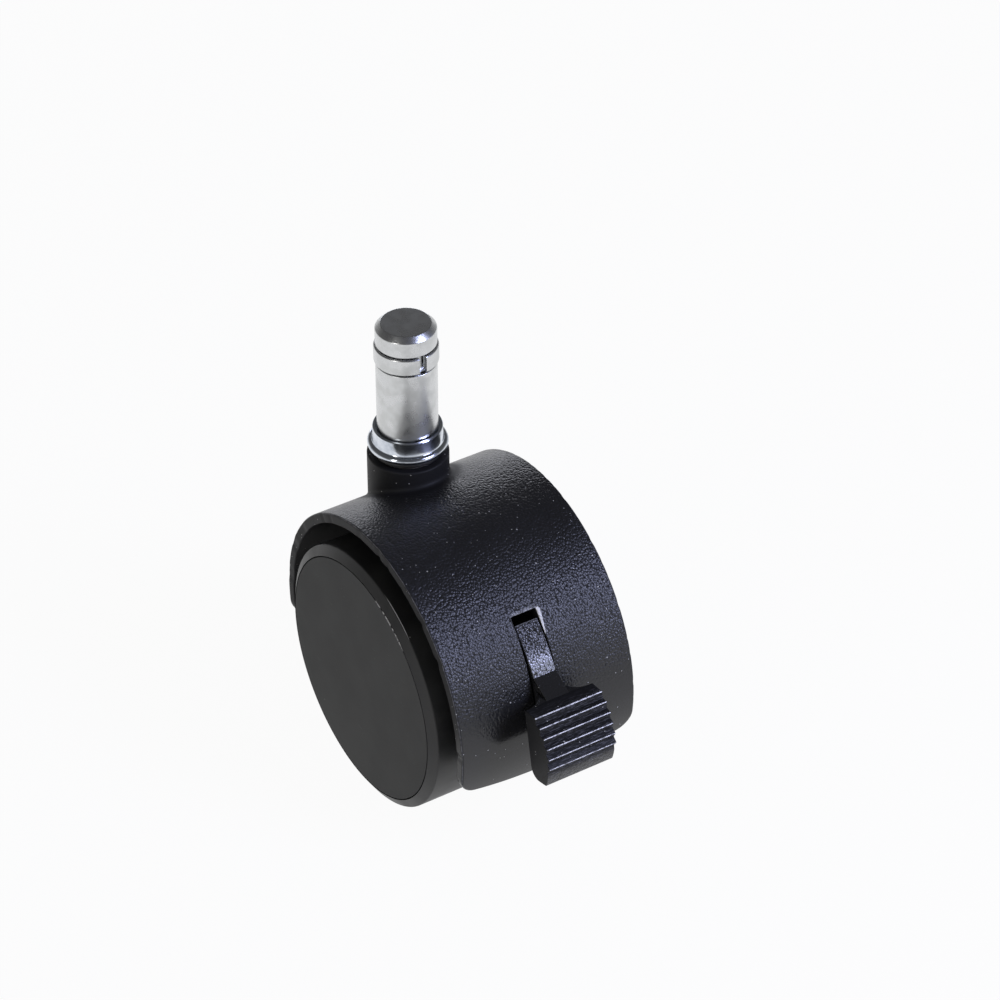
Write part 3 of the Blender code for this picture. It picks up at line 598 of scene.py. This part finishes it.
def hoodSlot(shape, outer, inner):
    places = loopRound(slotArea)
    low, high = math.radians(slot["low"]), math.radians(slot["high"])

    def edgeAt(i, k):                              # the far side's upper edge is worn to a taper
        if k != slotArea[3]:
            return slot["edge"], slot["edge"]
        below = (high - hoodRows[i][0]) * hood["outer"]
        share = 1 - min(1.0, max(0.0, below / slot["wornLength"]))
        wide = slot["edge"] + (slot["worn"] - slot["edge"]) * share
        return wide, slot["edge"] + (slot["wornDepth"] - slot["edge"]) * share

    def slotPoint(i, k, t):
        wide, deep = edgeAt(i, k)
        out = wide * (1 - math.sin(t))
        angle = hoodRows[i][0]
        spare = slot["edge"] * (1 - math.sin(t)) / hood["outer"]
        angle = min(high + spare, max(low - spare, angle))
        y = hoodColumns[k][0]
        y = min(slot["half"] + out, max(-slot["half"] - out, y))
        if k == slotArea[3]:
            y = slot["half"] + out
        x, z = polar(hood["outer"] - deep * (1 - math.cos(t)), angle)
        return (x, y, z)

    for i, k in places:
        outer[i][k].co = slotPoint(i, k, 0.0)
    loop = [outer[i][k] for i, k in places]
    for t in spread(0, math.pi / 2, hood["edgeSteps"] + 1)[1:]:
        ring = [shape.verts.new(slotPoint(i, k, t)) for i, k in places]
        joinLoops(shape, loop, ring)
        loop = ring
    joinLoops(shape, loop, [inner[i][k] for i, k in places])


def hoodHeight(x):
    return math.sqrt(hood["outer"] ** 2 - x * x)


def filletSection(turn):
    c = math.cos(turn)                             # fillet's curve in the upright plane through the boss axis
    wall = boss["radius"]

    def slope(reach):
        x = bossAt + reach * c
        return -x * c / hoodHeight(x)

    lean = math.atan(slope(wall))
    length = boss["fillet"] / math.tan((math.pi / 2 - lean) / 2)
    foot = wall + length * math.cos(lean)
    footHeight = hoodHeight(bossAt + foot * c)
    bend = footHeight - (foot - wall) * slope(foot)
    curve = []
    for t in spread(0, 1, boss["filletSteps"] + 1):
        reach = (1 - t) ** 2 * foot + (1 - (1 - t) ** 2) * wall
        height = (1 - t) ** 2 * footHeight + 2 * t * (1 - t) * bend + t * t * (bend + length)
        curve.append((reach, height))
    return curve


def hoodBoss(shape, outer):
    loop = [outer[i][k] for i, k in loopRound(bossArea)]
    starts = [(vert.co.x, vert.co.y) for vert in loop]
    turns = [math.atan2(y, x - bossAt) for x, y in starts]
    curves = [filletSection(turn) for turn in turns]
    rings = []
    for share in boss["approach"]:                 # the sheet closes in on the fillet's foot
        ring = []
        for (x, y), turn, curve in zip(starts, turns, curves):
            footX, footY = polar(curve[0][0], turn, (bossAt, 0))
            x += (footX - x) * share
            y += (footY - y) * share
            ring.append((x, y, hoodHeight(x)))
        rings.append(ring)
    for step in range(boss["filletSteps"] + 1):
        ring = []
        for turn, curve in zip(turns, curves):
            reach, height = curve[step]
            ring.append((*polar(reach, turn, (bossAt, 0)), height))
        rings.append(ring)
    edge = boss["edge"]
    for t in spread(0, math.pi / 2, hood["edgeSteps"] + 1):
        reach = boss["radius"] - edge * (1 - math.cos(t))
        height = boss["top"] - edge * (1 - math.sin(t))
        rings.append([(*polar(reach, turn, (bossAt, 0)), height) for turn in turns])
    for ring in rings:
        after = [shape.verts.new(point) for point in ring]
        joinLoops(shape, loop, after)
        loop = after
    shape.faces.new(loop)


def hoodCore():
    rear = 180 + math.degrees(math.asin(web["drop"] / web["outer"]))
    front = -math.degrees(math.asin(web["drop"] / web["notch"]))
    outline = arc(web["outer"], web["notchAngle"], rear, 60) + arc(web["notch"], front, web["notchAngle"], 16)
    core = slab(outline, web["half"], web["edge"])
    radius, bottom, top = boss["lowerRadius"], boss["lowerEnd"], boss["lowerTop"]
    lower = [(0, bottom, 0), (radius, bottom, boss["lowerEdge"]), (radius, top, 0), (0, top, 0)]
    lowerBoss = lathe(roundedPath(lower, closed=False), "z", 96)
    core = combine(core, moved(lowerBoss, x=bossAt), "UNION")
    core = combine(core, pinShape(web["hubRadius"], web["hubHalf"], web["hubEdge"], 96), "UNION")
    pocket = sector(web["pocketInner"], web["pocketOuter"], web["pocketLow"], web["pocketHigh"], 48)
    core = combine(core, slab(pocket, web["pocketHalf"]), "DIFFERENCE")
    spare = 0.1
    opening = sector(web["pocketOuter"] - 1, hood["outer"] + 1, slot["low"] - spare, slot["high"] + spare, 30)
    core = combine(core, slab(opening, slot["half"] + 0.05), "DIFFERENCE")
    core = combine(core, pinShape(web["axleHole"], web["hubHalf"] + 1, 0.0, 64), "DIFFERENCE")
    pinHole = moved(pinShape(web["pinHole"], web["half"] + 1, 0.0, 40), *pivot)
    return combine(core, pinHole, "DIFFERENCE")


def pinShape(radius, half, edge, segments):
    profile = [(0, -half, 0), (radius, -half, edge), (radius, half, edge), (0, half, 0)]
    return lathe(roundedPath(profile, closed=False), "y", segments)


hoodMarks = {"skin": (-0.2, -0.02), "side": (0.15, 0.45), "boss": (1.2, 3.2),
             "slotWear": 0.32, "slotAbove": (-0.1, 0.5), "slotDrop": 0.1, "slotSpare": 0.1,
             "sideWear": 0.16, "sideDrop": (0.06, 0.16), "sideWide": 0.4, "paleSpare": 0.05}


def hoodGrain(point):
    skin = eased(math.hypot(point.x, point.z) - hood["outer"], *hoodMarks["skin"])
    side = eased(hood["half"] - abs(point.y), *hoodMarks["side"])
    away = eased(math.hypot(point.x - bossAt, point.y) - boss["radius"], *hoodMarks["boss"])
    return skin * side * away


def hoodPolish(point):
    angle = math.degrees(math.atan2(point.z, point.x))     # the skin is smooth towards the front edge
    return hood["polish"] * (1 - eased(angle, hood["polishLow"], hood["polishHigh"])) if point.x > 0 else 0.0


def hoodWear(point):
    drop = hood["outer"] - math.hypot(point.x, point.z)    # rubbed: the slot's upper edge, the sides' corner
    above = math.degrees(math.atan2(point.z, point.x)) - slot["high"]
    low, high = hoodMarks["slotAbove"]
    overSlot = abs(point.y) < slot["half"] + hoodMarks["slotSpare"]
    if overSlot and low < above < high and drop < hoodMarks["slotDrop"]:
        return hoodMarks["slotWear"]
    low, high = hoodMarks["sideDrop"]
    onSide = low < drop < high and hood["half"] - abs(point.y) < hoodMarks["sideWide"]
    return hoodMarks["sideWear"] if onSide else 0.0


def hoodPaleScuffAndHighlight(point):
    drop = hood["outer"] - math.hypot(point.x, point.z)    # pale scuffing and a painted highlight beside the slot's upper end
    below = hood["outer"] * (math.radians(slot["high"]) - math.atan2(point.z, point.x))
    spare = hoodMarks["paleSpare"]
    beside = 0 <= point.y - slot["half"] < slot["worn"] and -spare < below < slot["wornLength"]
    return 1.0 if beside and 0.005 < drop < slot["wornDepth"] + spare else 0.0


shell = bmesh.new()
outerSheet, innerSheet = hoodSheets(shell)
hoodRim(shell, outerSheet, innerSheet)
hoodSlot(shell, outerSheet, innerSheet)
hoodBoss(shell, outerSheet)
loose = [vert for vert in shell.verts if not vert.link_faces]
bmesh.ops.delete(shell, geom=loose, context="VERTS")
shell = combine(shell, hoodCore(), "UNION")
mouth = [(0, socket["clear"]), (socket["clearRadius"], socket["clear"]), (socket["mouth"], boss["top"] + 0.2),
         (socket["radius"], boss["top"] - 0.3), (socket["radius"], socket["step"]),
         (socket["chamber"], socket["step"]), (socket["chamber"], socket["floor"]), (0, socket["floor"])]
shell = combine(shell, moved(lathe(mouth, "z", 96), x=bossAt), "DIFFERENCE")
hoodPiece = newPiece("hoodShell", shell, "hood", "hood", "grained_plastic", axleAt)
paint(hoodPiece, "grain", axleAt, hoodGrain)
paint(hoodPiece, "polish", axleAt, hoodPolish)
paint(hoodPiece, "edge", axleAt, hoodWear)
paint(hoodPiece, "paleScuffAndHighlight", axleAt, hoodPaleScuffAndHighlight)
print("hood made:", len(hoodPiece.data.polygons), "faces")

# Wheels, caps and bushes: heights are along the axle from the middle
wheel = {"radius": 25.0, "inside": 8.2, "treadEnd": 19.6, "face": 20.7, "seat": 23.2, "bore": 4.6,
         "hub": 6.8, "hubInside": 8.7, "rimInside": 22.0, "webInside": 14.9, "webOutside": 16.9,
         # the last two: angles, in degrees, of the painted highlight on the tread's outer corner
         "ledge": 18.8, "pocket": 21.5, "segments": 192, "scuffAndHighlightLow": 50.0, "scuffAndHighlightHigh": 73.0}
cap = {"radius": 23.0, "face": 20.74, "edgeFace": 20.68, "edge": 0.03, "inside": 19.1, "skirtOuter": 21.2,
       "skirtInner": 20.0, "skirtEnd": 17.9, "scuffed": 0.22, "scuffAndHighlightLow": 46.0, "scuffAndHighlightHigh": 77.0}
bush = {"inner": 3.3, "outer": 4.3, "low": 8.7, "high": 16.9, "edge": 0.2}


def wheelProfile():
    w = wheel
    return roundedPath([
        (w["bore"], w["hubInside"], 0.2), (w["hub"], w["hubInside"], 0.3), (w["hub"], w["webInside"], 0.8),
        (w["rimInside"], w["webInside"], 0.8), (w["rimInside"], w["inside"], 0.4),
        (w["radius"], w["inside"], 0.7), (w["radius"], w["treadEnd"], 0.35), (w["seat"], w["face"], 0.03),
        (w["seat"], w["ledge"], 0), (w["pocket"], w["ledge"], 0), (w["pocket"], w["webOutside"], 0.5),
        (w["bore"], w["webOutside"], 0.2),
    ])


def capProfile():
    c = cap
    dome = [(c["radius"] * share, c["face"] - (c["face"] - c["edgeFace"]) * share ** 4, 0)
            for share in spread(0, 0.95, 12)]
    return roundedPath(dome + [
        (c["radius"] - c["scuffed"], c["edgeFace"], 0), (c["radius"], c["edgeFace"], c["edge"]),
        (c["radius"], c["inside"], 0), (c["skirtOuter"], c["inside"], 0),
        (c["skirtOuter"], c["skirtEnd"], 0.2), (c["skirtInner"], c["skirtEnd"], 0.2),
        (c["skirtInner"], c["inside"], 0), (0, c["inside"], 0),
    ], closed=False)


def ringProfile(ring):
    inner, outer, low, high, edge = (ring[name] for name in ("inner", "outer", "low", "high", "edge"))
    corners = [(inner, low, edge), (outer, low, edge), (outer, high, edge), (inner, high, edge)]
    return roundedPath(corners, steps=3)


def flipped(profile, side):
    return [(radius, side * height) for radius, height in profile]


def turnedPiece(name, profile, axis, segments, body, node, slotName, place):
    return newPiece(name, lathe(profile, axis, segments), body, node, slotName, place)


def alongScuffAndHighlight(point, settings):
    degrees = math.degrees(math.atan2(point.z, point.x))             # one stretch of an edge is marked
    return eased(degrees, settings["scuffAndHighlightLow"], settings["scuffAndHighlightLow"] + 6) * (
        1 - eased(degrees, settings["scuffAndHighlightHigh"] - 6, settings["scuffAndHighlightHigh"]))


def wheelPaintedHighlight(point):
    # a painted highlight on the tread's outer corner, over one stretch of angles
    onTread = math.hypot(point.x, point.z) > wheel["radius"] - 0.06
    onCorner = onTread and abs(point.y) > wheel["treadEnd"] - 0.12
    return 0.8 * alongScuffAndHighlight(point, wheel) if onCorner else 0.0


def capScuff(point):
    onEdge = math.hypot(point.x, point.z) > cap["radius"] - 0.1 and abs(point.y) > cap["edgeFace"] - 0.1
    return 0.9 * alongScuffAndHighlight(point, cap) if onEdge else 0.0


for hand, side in (("left", 1), ("right", -1)):
    body = hand + "_wheel"
    ending = hand.capitalize()
    rimPiece = turnedPiece("wheel" + ending, flipped(wheelProfile(), side), "y", wheel["segments"], body,
                           "wheel_" + hand, "wheel_plastic", axleAt)
    paint(rimPiece, "scuffAndHighlight", axleAt, wheelPaintedHighlight)
    capPiece = turnedPiece("hubCap" + ending, flipped(capProfile(), side), "y", wheel["segments"], body,
                           "hub_cap_" + hand, "cap_plastic", axleAt)
    paint(capPiece, "scuffAndHighlight", axleAt, capScuff)
    turnedPiece("wheelBush" + ending, flipped(ringProfile(bush), side), "y", 64, body,
                "wheel_bush_" + hand, "natural_nylon", axleAt)
print("wheels made")

# Axle and what is on it
axle = {"radius": 3.0, "half": 18.4, "edge": 0.4}
sideRings = {
    "wheelWasher": {"node": "wheel_washer_", "inner": 3.3, "outer": 6.5, "low": 7.7, "high": 8.4,
                    "edge": 0.12},
    "axleRetainer": {"node": "axle_retainer_", "inner": 3.3, "outer": 5.9, "low": 17.2, "high": 18.0,
                     "edge": 0.15},
}
axleShape = pinShape(axle["radius"], axle["half"], axle["edge"], 64)
newPiece("axlePin", axleShape, "hood", "axle", "zinc_steel", axleAt)
for name, ring in sideRings.items():
    for hand, side in (("left", 1), ("right", -1)):
        turnedPiece(name + hand.capitalize(), flipped(ringProfile(ring), side), "y", 64, "hood",
                    ring["node"] + hand, "zinc_steel", axleAt)
print("axle made")

# Stem, its rings, the collar and the swivel bearing: heights are from the collar's top
stem = {"radius": 5.5, "top": 22.0, "chamfer": 1.0, "groove": 4.5, "grooveLow": 14.0, "grooveHigh": 18.0,
        "shoulder": -0.5, "spigot": 4.0, "ringGroove": 3.2, "ringHigh": -20.5, "ringLow": -22.3, "end": -23.9}
collar = {"bore": 4.3, "recess": 5.8, "recessDepth": 0.8, "neck": 6.3, "lip": 0.3, "height": 4.1,
          "rimHeight": 1.4, "rimRadius": 7.3, "steps": 18}
gripRing = {"inner": 4.8, "outer": 5.8, "low": 14.3, "high": 17.7, "split": 1.4, "edge": 0.35}
retainingRing = {"inner": 3.5, "outer": 5.0, "low": -22.0, "high": -20.8, "split": 3.0, "edge": 0.2}
thrustWasher = {"inner": 4.3, "outer": 6.4, "low": -5.2, "high": -4.4, "edge": 0.2}
swivelBush = {"inner": 4.3, "outer": 5.4, "low": -20.5, "high": -5.5, "edge": 0.2}


def stemProfile():
    s = stem
    return roundedPath([
        (0, s["top"], 0), (s["radius"] - s["chamfer"], s["top"], 0.3),
        (s["radius"], s["top"] - s["chamfer"], 0.4), (s["radius"], s["grooveHigh"], 0.12),
        (s["groove"], s["grooveHigh"], 0.15), (s["groove"], s["grooveLow"], 0.15),
        (s["radius"], s["grooveLow"], 0.12), (s["radius"], s["shoulder"], 0.1),
        (s["spigot"], s["shoulder"], 0.15), (s["spigot"], s["ringHigh"], 0.1),
        (s["ringGroove"], s["ringHigh"], 0.1), (s["ringGroove"], s["ringLow"], 0.1),
        (s["spigot"], s["ringLow"], 0.1), (s["spigot"], s["end"], 0.5), (0, s["end"], 0),
    ], closed=False)


def collarProfile():
    c = collar
    rimMiddle = c["rimRadius"] - c["rimHeight"] / 2
    drop = c["height"] - c["rimHeight"] - c["lip"]
    flare = [(rimMiddle - (rimMiddle - c["neck"]) * math.cos(t), -c["lip"] - drop * math.sin(t))
             for t in spread(0, math.pi / 2, c["steps"])]
    rim = arc(c["rimHeight"] / 2, 90, -90, c["steps"], (rimMiddle, c["rimHeight"] / 2 - c["height"]))
    inside = [(c["bore"], -c["height"]), (c["bore"], -c["recessDepth"]), (c["recess"], -c["recessDepth"]),
              (c["recess"], 0), (c["neck"] - 0.1, 0), (c["neck"], -0.1)]
    return inside + flare + rim[1:]


def splitRing(ring, segments):
    shape = bmesh.new()                            # a rounded section swept round, open at the split
    section = ringProfile(ring)
    gap = ring["split"] / ring["outer"]
    loops = []
    for angle in spread(gap / 2, math.tau - gap / 2, segments + 1):
        loops.append([shape.verts.new((*polar(radius, angle), height)) for radius, height in section])
    for one, other in zip(loops, loops[1:]):
        joinLoops(shape, one, other)
    shape.faces.new(loops[0])
    shape.faces.new(loops[-1])
    return shape


turnedPiece("stemPin", stemProfile(), "z", 96, "stem", "stem", "zinc_steel", swivelAt)
turnedPiece("stemCollar", collarProfile(), "z", 160, "stem", "stem_collar", "bright_plating", swivelAt)
for name, ring, node in (("gripRing", gripRing, "grip_ring"),
                         ("retainingRing", retainingRing, "stem_retaining_ring")):
    newPiece(name, splitRing(ring, 96), "stem", node, "zinc_steel", swivelAt)
for name, ring, node, slotName in (("thrustWasher", thrustWasher, "thrust_washer", "black_nylon"),
                                   ("swivelBush", swivelBush, "swivel_bush", "natural_nylon")):
    turnedPiece(name, ringProfile(ring), "z", 96, "hood", node, slotName, swivelAt)
print("stem and bearing made")

# Brake: lever with its ribbed pad, cross bar and pin
lever = {"half": 2.3, "edge": 0.12, "release": math.radians(9.666), "stripRadius": 30.5, "stripHigh": 39.0,
         "stripLow": 20.7, "stripThick": 3.1, "eye": 3.2, "eyeHole": 1.8, "legInner": 23.6, "legOuter": 28.2,
         "legLow": 4.554, "legHigh": 21.446, "neckStep": 0.2, "neckBite": 2.5, "neckDepth": 3.5,
         "gusset": 3.8, "gussetBite": 0.6, "gussetDepth": 1.2}
pad = {"rise": 1.5, "radius": 10.9, "ribs": 6, "firstRib": 56.5, "ribStep": 10.4, "ribDepth": 0.8,
       "valley": 0.55, "crestRound": 0.19, "crestLine": 0.085, "valleyRound": 0.2, "bandDepth": 0.6,
       "bandSpan": 14.7, "bandRound": 1.2, "topRound": 0.35,
       "topStandoff": 2.7, "lowStandoff": 5.3, "drop": 4.7, "corner": 2.3, "half": 6.95, "edge": 0.14}
bar = {"inner": 25.2, "outer": 26.6, "low": 8.0, "high": 18.0, "half": 14.4, "edge": 0.2, "window": 0.3}
pin = {"radius": 1.5, "half": 4.8, "edge": 0.25}
padCentre = (hood["outer"], pad["rise"])
padTop = pad["rise"] + (pad["radius"] - pad["ribDepth"] / 2) * math.sin(math.radians(pad["firstRib"]))


def released(radius, degrees):
    return turned(polar(radius, math.radians(degrees)), lever["release"], pivot)


def leverOutline():
    v = lever
    strip = [(*released(v["stripRadius"], angle), 0) for angle in spread(v["stripHigh"], v["stripLow"], 15)]
    strip[0] = (*strip[0][:2], 0.35)
    strip[-1] = (*strip[-1][:2], 0.15)
    neckX = hood["outer"] + pad["topStandoff"]
    neckTop = padTop - v["neckStep"]
    neckEnd = neckX + v["neckBite"]
    neckLow = neckTop - v["neckDepth"]
    neck = [(neckX, neckTop, 0.4), (neckEnd, neckTop - v["neckStep"], 0), (neckEnd, neckLow, 0),
            (hood["outer"], neckLow, 0.5)]
    leg = [(*released(v["legOuter"], v["legLow"]), 0.5), (*released(v["legInner"], v["legLow"]), 0.5),
           (*released(v["legInner"], v["legHigh"]), 0)]
    eye = [(x, z, 0) for x, z in arc(v["eye"], -80, -240, 24, pivot)]
    inside = [(*released(v["stripRadius"] - v["stripThick"], v["stripHigh"]), 0.3)]
    return roundedPath(strip + neck + leg + eye + inside)


def padOutline():
    p = pad
    corners = []
    for k in range(p["ribs"]):
        crest = math.radians(p["firstRib"] - k * p["ribStep"])
        low = crest - p["valley"] * math.radians(p["ribStep"])
        corners.append((*polar(p["radius"], crest, padCentre), p["crestRound"]))
        corners.append((*polar(p["radius"] - p["ribDepth"], low, padCentre), p["valleyRound"]))
    last = p["firstRib"] - p["ribs"] * p["ribStep"]
    band = arc(p["radius"] - p["bandDepth"], last, last - p["bandSpan"], 9, padCentre)
    corners += [(x, z, 0) for x, z in band[:-1]]
    corners.append((*band[-1], p["bandRound"]))
    corners.append((hood["outer"] + p["lowStandoff"], p["rise"] - p["drop"], p["corner"]))
    corners.append((hood["outer"] + p["topStandoff"], padTop, p["topRound"]))
    return roundedPath(corners, steps=8)


def gussetShape():
    rear, half, bow = hood["outer"] + pad["topStandoff"], lever["half"], lever["gusset"]
    side = arc(bow, -90, 0, 10, (rear - bow, half + bow))  # hollow corners where the neck meets the pad
    bite = rear + lever["gussetBite"]
    plan = side + [(bite, half + bow), (bite, -half - bow)] + [(x, -y) for x, y in reversed(side)]
    shape = slab(plan, lever["gussetDepth"] / 2)
    bmesh.ops.rotate(shape, verts=shape.verts, cent=(0, 0, 0), matrix=Matrix.Rotation(math.pi / 2, 3, "X"))
    return moved(shape, z=padTop - lever["neckStep"] - lever["gussetDepth"] / 2)


def barOutline(spare):
    angle = math.degrees(spare / bar["outer"])
    section = sector(bar["inner"] - spare, bar["outer"] + spare, bar["low"] - angle, bar["high"] + angle, 12)
    return [turned(point, lever["release"], pivot) for point in section]


leverMarks = {"armEnd": 33.0, "crestFrom": 34.0, "frontFrom": 35.0, "frontSkin": 0.1, "frontSide": 0.05,
              "skin": (-0.08, -0.01), "side": (0.02, 0.1), "grain": 1.5, "grainLost": 1.05,
              "sleekLost": 0.75, "sleekTurn": (25.0, 31.0), "sleekSkin": 0.1,
              "tipTurn": 0.4, "tipSkin": 0.3, "tipWear": 0.3, "bandSkin": 0.05, "bandBelow": 0.6}


def armPlace(point):
    x, z = turned((point.x, point.z), -lever["release"], pivot)      # height over the arm's face, and angle
    return math.hypot(x, z) - lever["stripRadius"], math.degrees(math.atan2(z, x))


def padReach(point):
    return math.hypot(point.x - padCentre[0], point.z - padCentre[1])


def leverGrain(point):
    height = armPlace(point)[0]
    strip = eased(height, *leverMarks["skin"]) * eased(lever["half"] - abs(point.y), *leverMarks["side"])
    strip *= leverMarks["grain"] - leverMarks["grainLost"] * leverSleek(point)
    overBand = abs(padReach(point) - pad["radius"] + pad["bandDepth"])
    onBand = overBand < leverMarks["bandSkin"] and point.z < padCentre[1] - leverMarks["bandBelow"]
    return max(strip if point.x < leverMarks["armEnd"] else 0.0, 1.0 if onBand else 0.0)


def leverSleek(point):
    height, angle = armPlace(point)                # the arm's lower end is rubbed smooth
    onStrip = height > -leverMarks["sleekSkin"] and point.x < leverMarks["armEnd"]
    return 1 - leverMarks["sleekLost"] * eased(angle, *leverMarks["sleekTurn"]) if onStrip else 0.0


def leverWearAndCrestHighlight(point):
    # rib crests: a painted highlight line in the worn grey, besides wear; the arm's tip: wear
    if padReach(point) > pad["radius"] - pad["crestLine"] and point.x > leverMarks["crestFrom"]:
        return 1.0
    height, angle = armPlace(point)
    onTip = abs(angle - lever["stripHigh"]) < leverMarks["tipTurn"] and height > -leverMarks["tipSkin"]
    return leverMarks["tipWear"] if onTip and point.x < leverMarks["armEnd"] else 0.0


def leverStreak(point):
    onRibs = padReach(point) > pad["radius"] - pad["ribDepth"] - leverMarks["frontSkin"]
    onFront = onRibs and abs(point.y) < pad["half"] - leverMarks["frontSide"]
    return 1.0 if onFront and point.x > leverMarks["frontFrom"] else 0.0


leverShape = combine(slab(leverOutline(), lever["half"], lever["edge"]), gussetShape(), "UNION")
leverShape = combine(leverShape, slab(padOutline(), pad["half"], pad["edge"]), "UNION")
throughHalf = lever["half"] + 1                    # cutters reach past the arm's sides
leverShape = combine(leverShape, slab(barOutline(bar["window"]), throughHalf), "DIFFERENCE")
eyeHole = moved(pinShape(lever["eyeHole"], throughHalf, 0.0, 48), *pivot)
leverShape = combine(leverShape, eyeHole, "DIFFERENCE")
leverPiece = newPiece("brakeLever", leverShape, "brake", "brake_lever", "grained_plastic", axleAt)
paint(leverPiece, "grain", axleAt, leverGrain)
paint(leverPiece, "edge", axleAt, leverWearAndCrestHighlight)
paint(leverPiece, "sleek", axleAt, leverSleek)
paint(leverPiece, "streak", axleAt, leverStreak)
barShape = slab(barOutline(0.0), bar["half"], bar["edge"])
newPiece("brakeBar", barShape, "brake", "brake_bar", "zinc_steel", axleAt)
brakePin = moved(pinShape(pin["radius"], pin["half"], pin["edge"], 48), *pivot)
newPiece("brakePin", brakePin, "hood", "brake_pivot_pin", "zinc_steel", axleAt)
print("brake made")

# Studio: pale floor, soft lights, camera
floor = {"radius": 1.5, "segments": 128, "colour": (0.86, 0.86, 0.86), "roughness": 0.9, "white": 0.95}
studio = {"horizon": 0.38, "overhead": 0.09, "whiteTo": 0.05, "darkFrom": 0.45, "fill": 2.0}
lamps = {
    "keyWindow": {"towards": (0.685, 0.425, 0.59), "distance": 0.7, "size": (0.24, 0.28), "power": 2.9,
                  "colour": (0.60, 0.65, 1.0)},
    "lowWindow": {"towards": (0.86, 0.43, 0.28), "distance": 0.7, "size": (0.24, 0.14), "power": 0.50,
                  "colour": (0.68, 0.74, 1.0)},
    "backWindow": {"towards": (-0.88, 0.42, 0.14), "distance": 0.7, "size": (0.50, 0.18), "power": 0.8,
                   "colour": (0.88, 0.90, 1.0)},
    "sideStrip": {"towards": (0.32, -0.93, 0.40), "distance": 0.6, "size": (0.10, 0.50), "power": 0.60,
                  "colour": (1.0, 0.98, 0.95)},
}
view = {"azimuth": math.radians(57.67522), "elevation": math.radians(37.41745), "distance": 670.3,
        "across": -7.56176, "up": -25.18207, "lens": 133.24}


def seenDirectly(tree):
    path = addNode(tree, "ShaderNodeLightPath")
    seen = calc(tree, "MAXIMUM", path.outputs["Is Camera Ray"], path.outputs["Is Glossy Ray"])
    return calc(tree, "MAXIMUM", seen, path.outputs["Is Transmission Ray"])


def makeFloor():
    shape = bmesh.new()
    bmesh.ops.create_circle(shape, cap_ends=True, radius=floor["radius"], segments=floor["segments"])
    mesh = bpy.data.meshes.new("studioFloor")
    shape.to_mesh(mesh)
    shape.free()
    item = bpy.data.objects.new("studioFloor", mesh)
    item.location = (axleAt.x * millimetre, 0, cadBox[0].z)
    bpy.context.scene.collection.objects.link(item)
    finish, tree, shader = newFinish("paleFloor", floor["colour"], floor["roughness"], specular=0.0)
    glow = addNode(tree, "ShaderNodeEmission", {"Color": (1, 1, 1, 1), "Strength": 1.0})
    share = calc(tree, "MULTIPLY", seenDirectly(tree), floor["white"])
    both = addNode(tree, "ShaderNodeMixShader", {0: share, 1: shader.outputs[0], 2: glow.outputs[0]})
    tree.links.new(both.outputs[0], tree.nodes["Material Output"].inputs["Surface"])
    mesh.materials.append(finish)


def makeSurround():
    world = bpy.data.worlds.new("studioSurround")
    bpy.context.scene.world = world
    world.use_nodes = True
    tree = world.node_tree
    around = addNode(tree, "ShaderNodeTexCoord").outputs["Generated"]
    upward = addNode(tree, "ShaderNodeSeparateXYZ", {0: around}).outputs["Z"]
    level = remap(tree, upward, studio["whiteTo"], studio["darkFrom"], studio["horizon"], studio["overhead"])
    path = addNode(tree, "ShaderNodeLightPath")
    lit = mix(tree, seenDirectly(tree), calc(tree, "MULTIPLY", level, studio["fill"]), level)
    shown = mix(tree, path.outputs["Is Camera Ray"], lit, 1.0)
    tree.links.new(shown, tree.nodes["Background"].inputs["Strength"])
    tree.nodes["Background"].inputs["Color"].default_value = (1, 1, 1, 1)


def makeLamp(name, lamp):
    data = bpy.data.lights.new(name, "AREA")
    data.shape = "RECTANGLE"
    data.size, data.size_y = lamp["size"]
    data.energy = lamp["power"]
    data.color = lamp["colour"]
    item = bpy.data.objects.new(name, data)
    towards = Vector(lamp["towards"]).normalized()
    item.location = axleAt * millimetre + towards * lamp["distance"]
    item.rotation_euler = towards.to_track_quat("Z", "Y").to_euler()
    bpy.context.scene.collection.objects.link(item)


def makeCamera():
    turn, lift = view["azimuth"], view["elevation"]
    back = Vector((math.sin(turn) * math.cos(lift), -math.cos(turn) * math.cos(lift), math.sin(lift)))
    right = Vector((math.cos(turn), math.sin(turn), 0))
    up = back.cross(right)
    data = bpy.data.cameras.new("photoView")
    data.lens = view["lens"]
    data.clip_start = 0.01
    camera = bpy.data.objects.new("photoView", data)
    place = axleAt + back * view["distance"] - right * view["across"] - up * view["up"]
    facing = Matrix((right, up, back)).transposed().to_4x4()
    camera.matrix_world = Matrix.Translation(place * millimetre) @ facing
    bpy.context.scene.collection.objects.link(camera)
    bpy.context.scene.camera = camera


makeFloor()
makeSurround()
for name, lamp in lamps.items():
    makeLamp(name, lamp)
makeCamera()
bpy.context.scene.view_settings.view_transform = "Standard"
print("studio set")
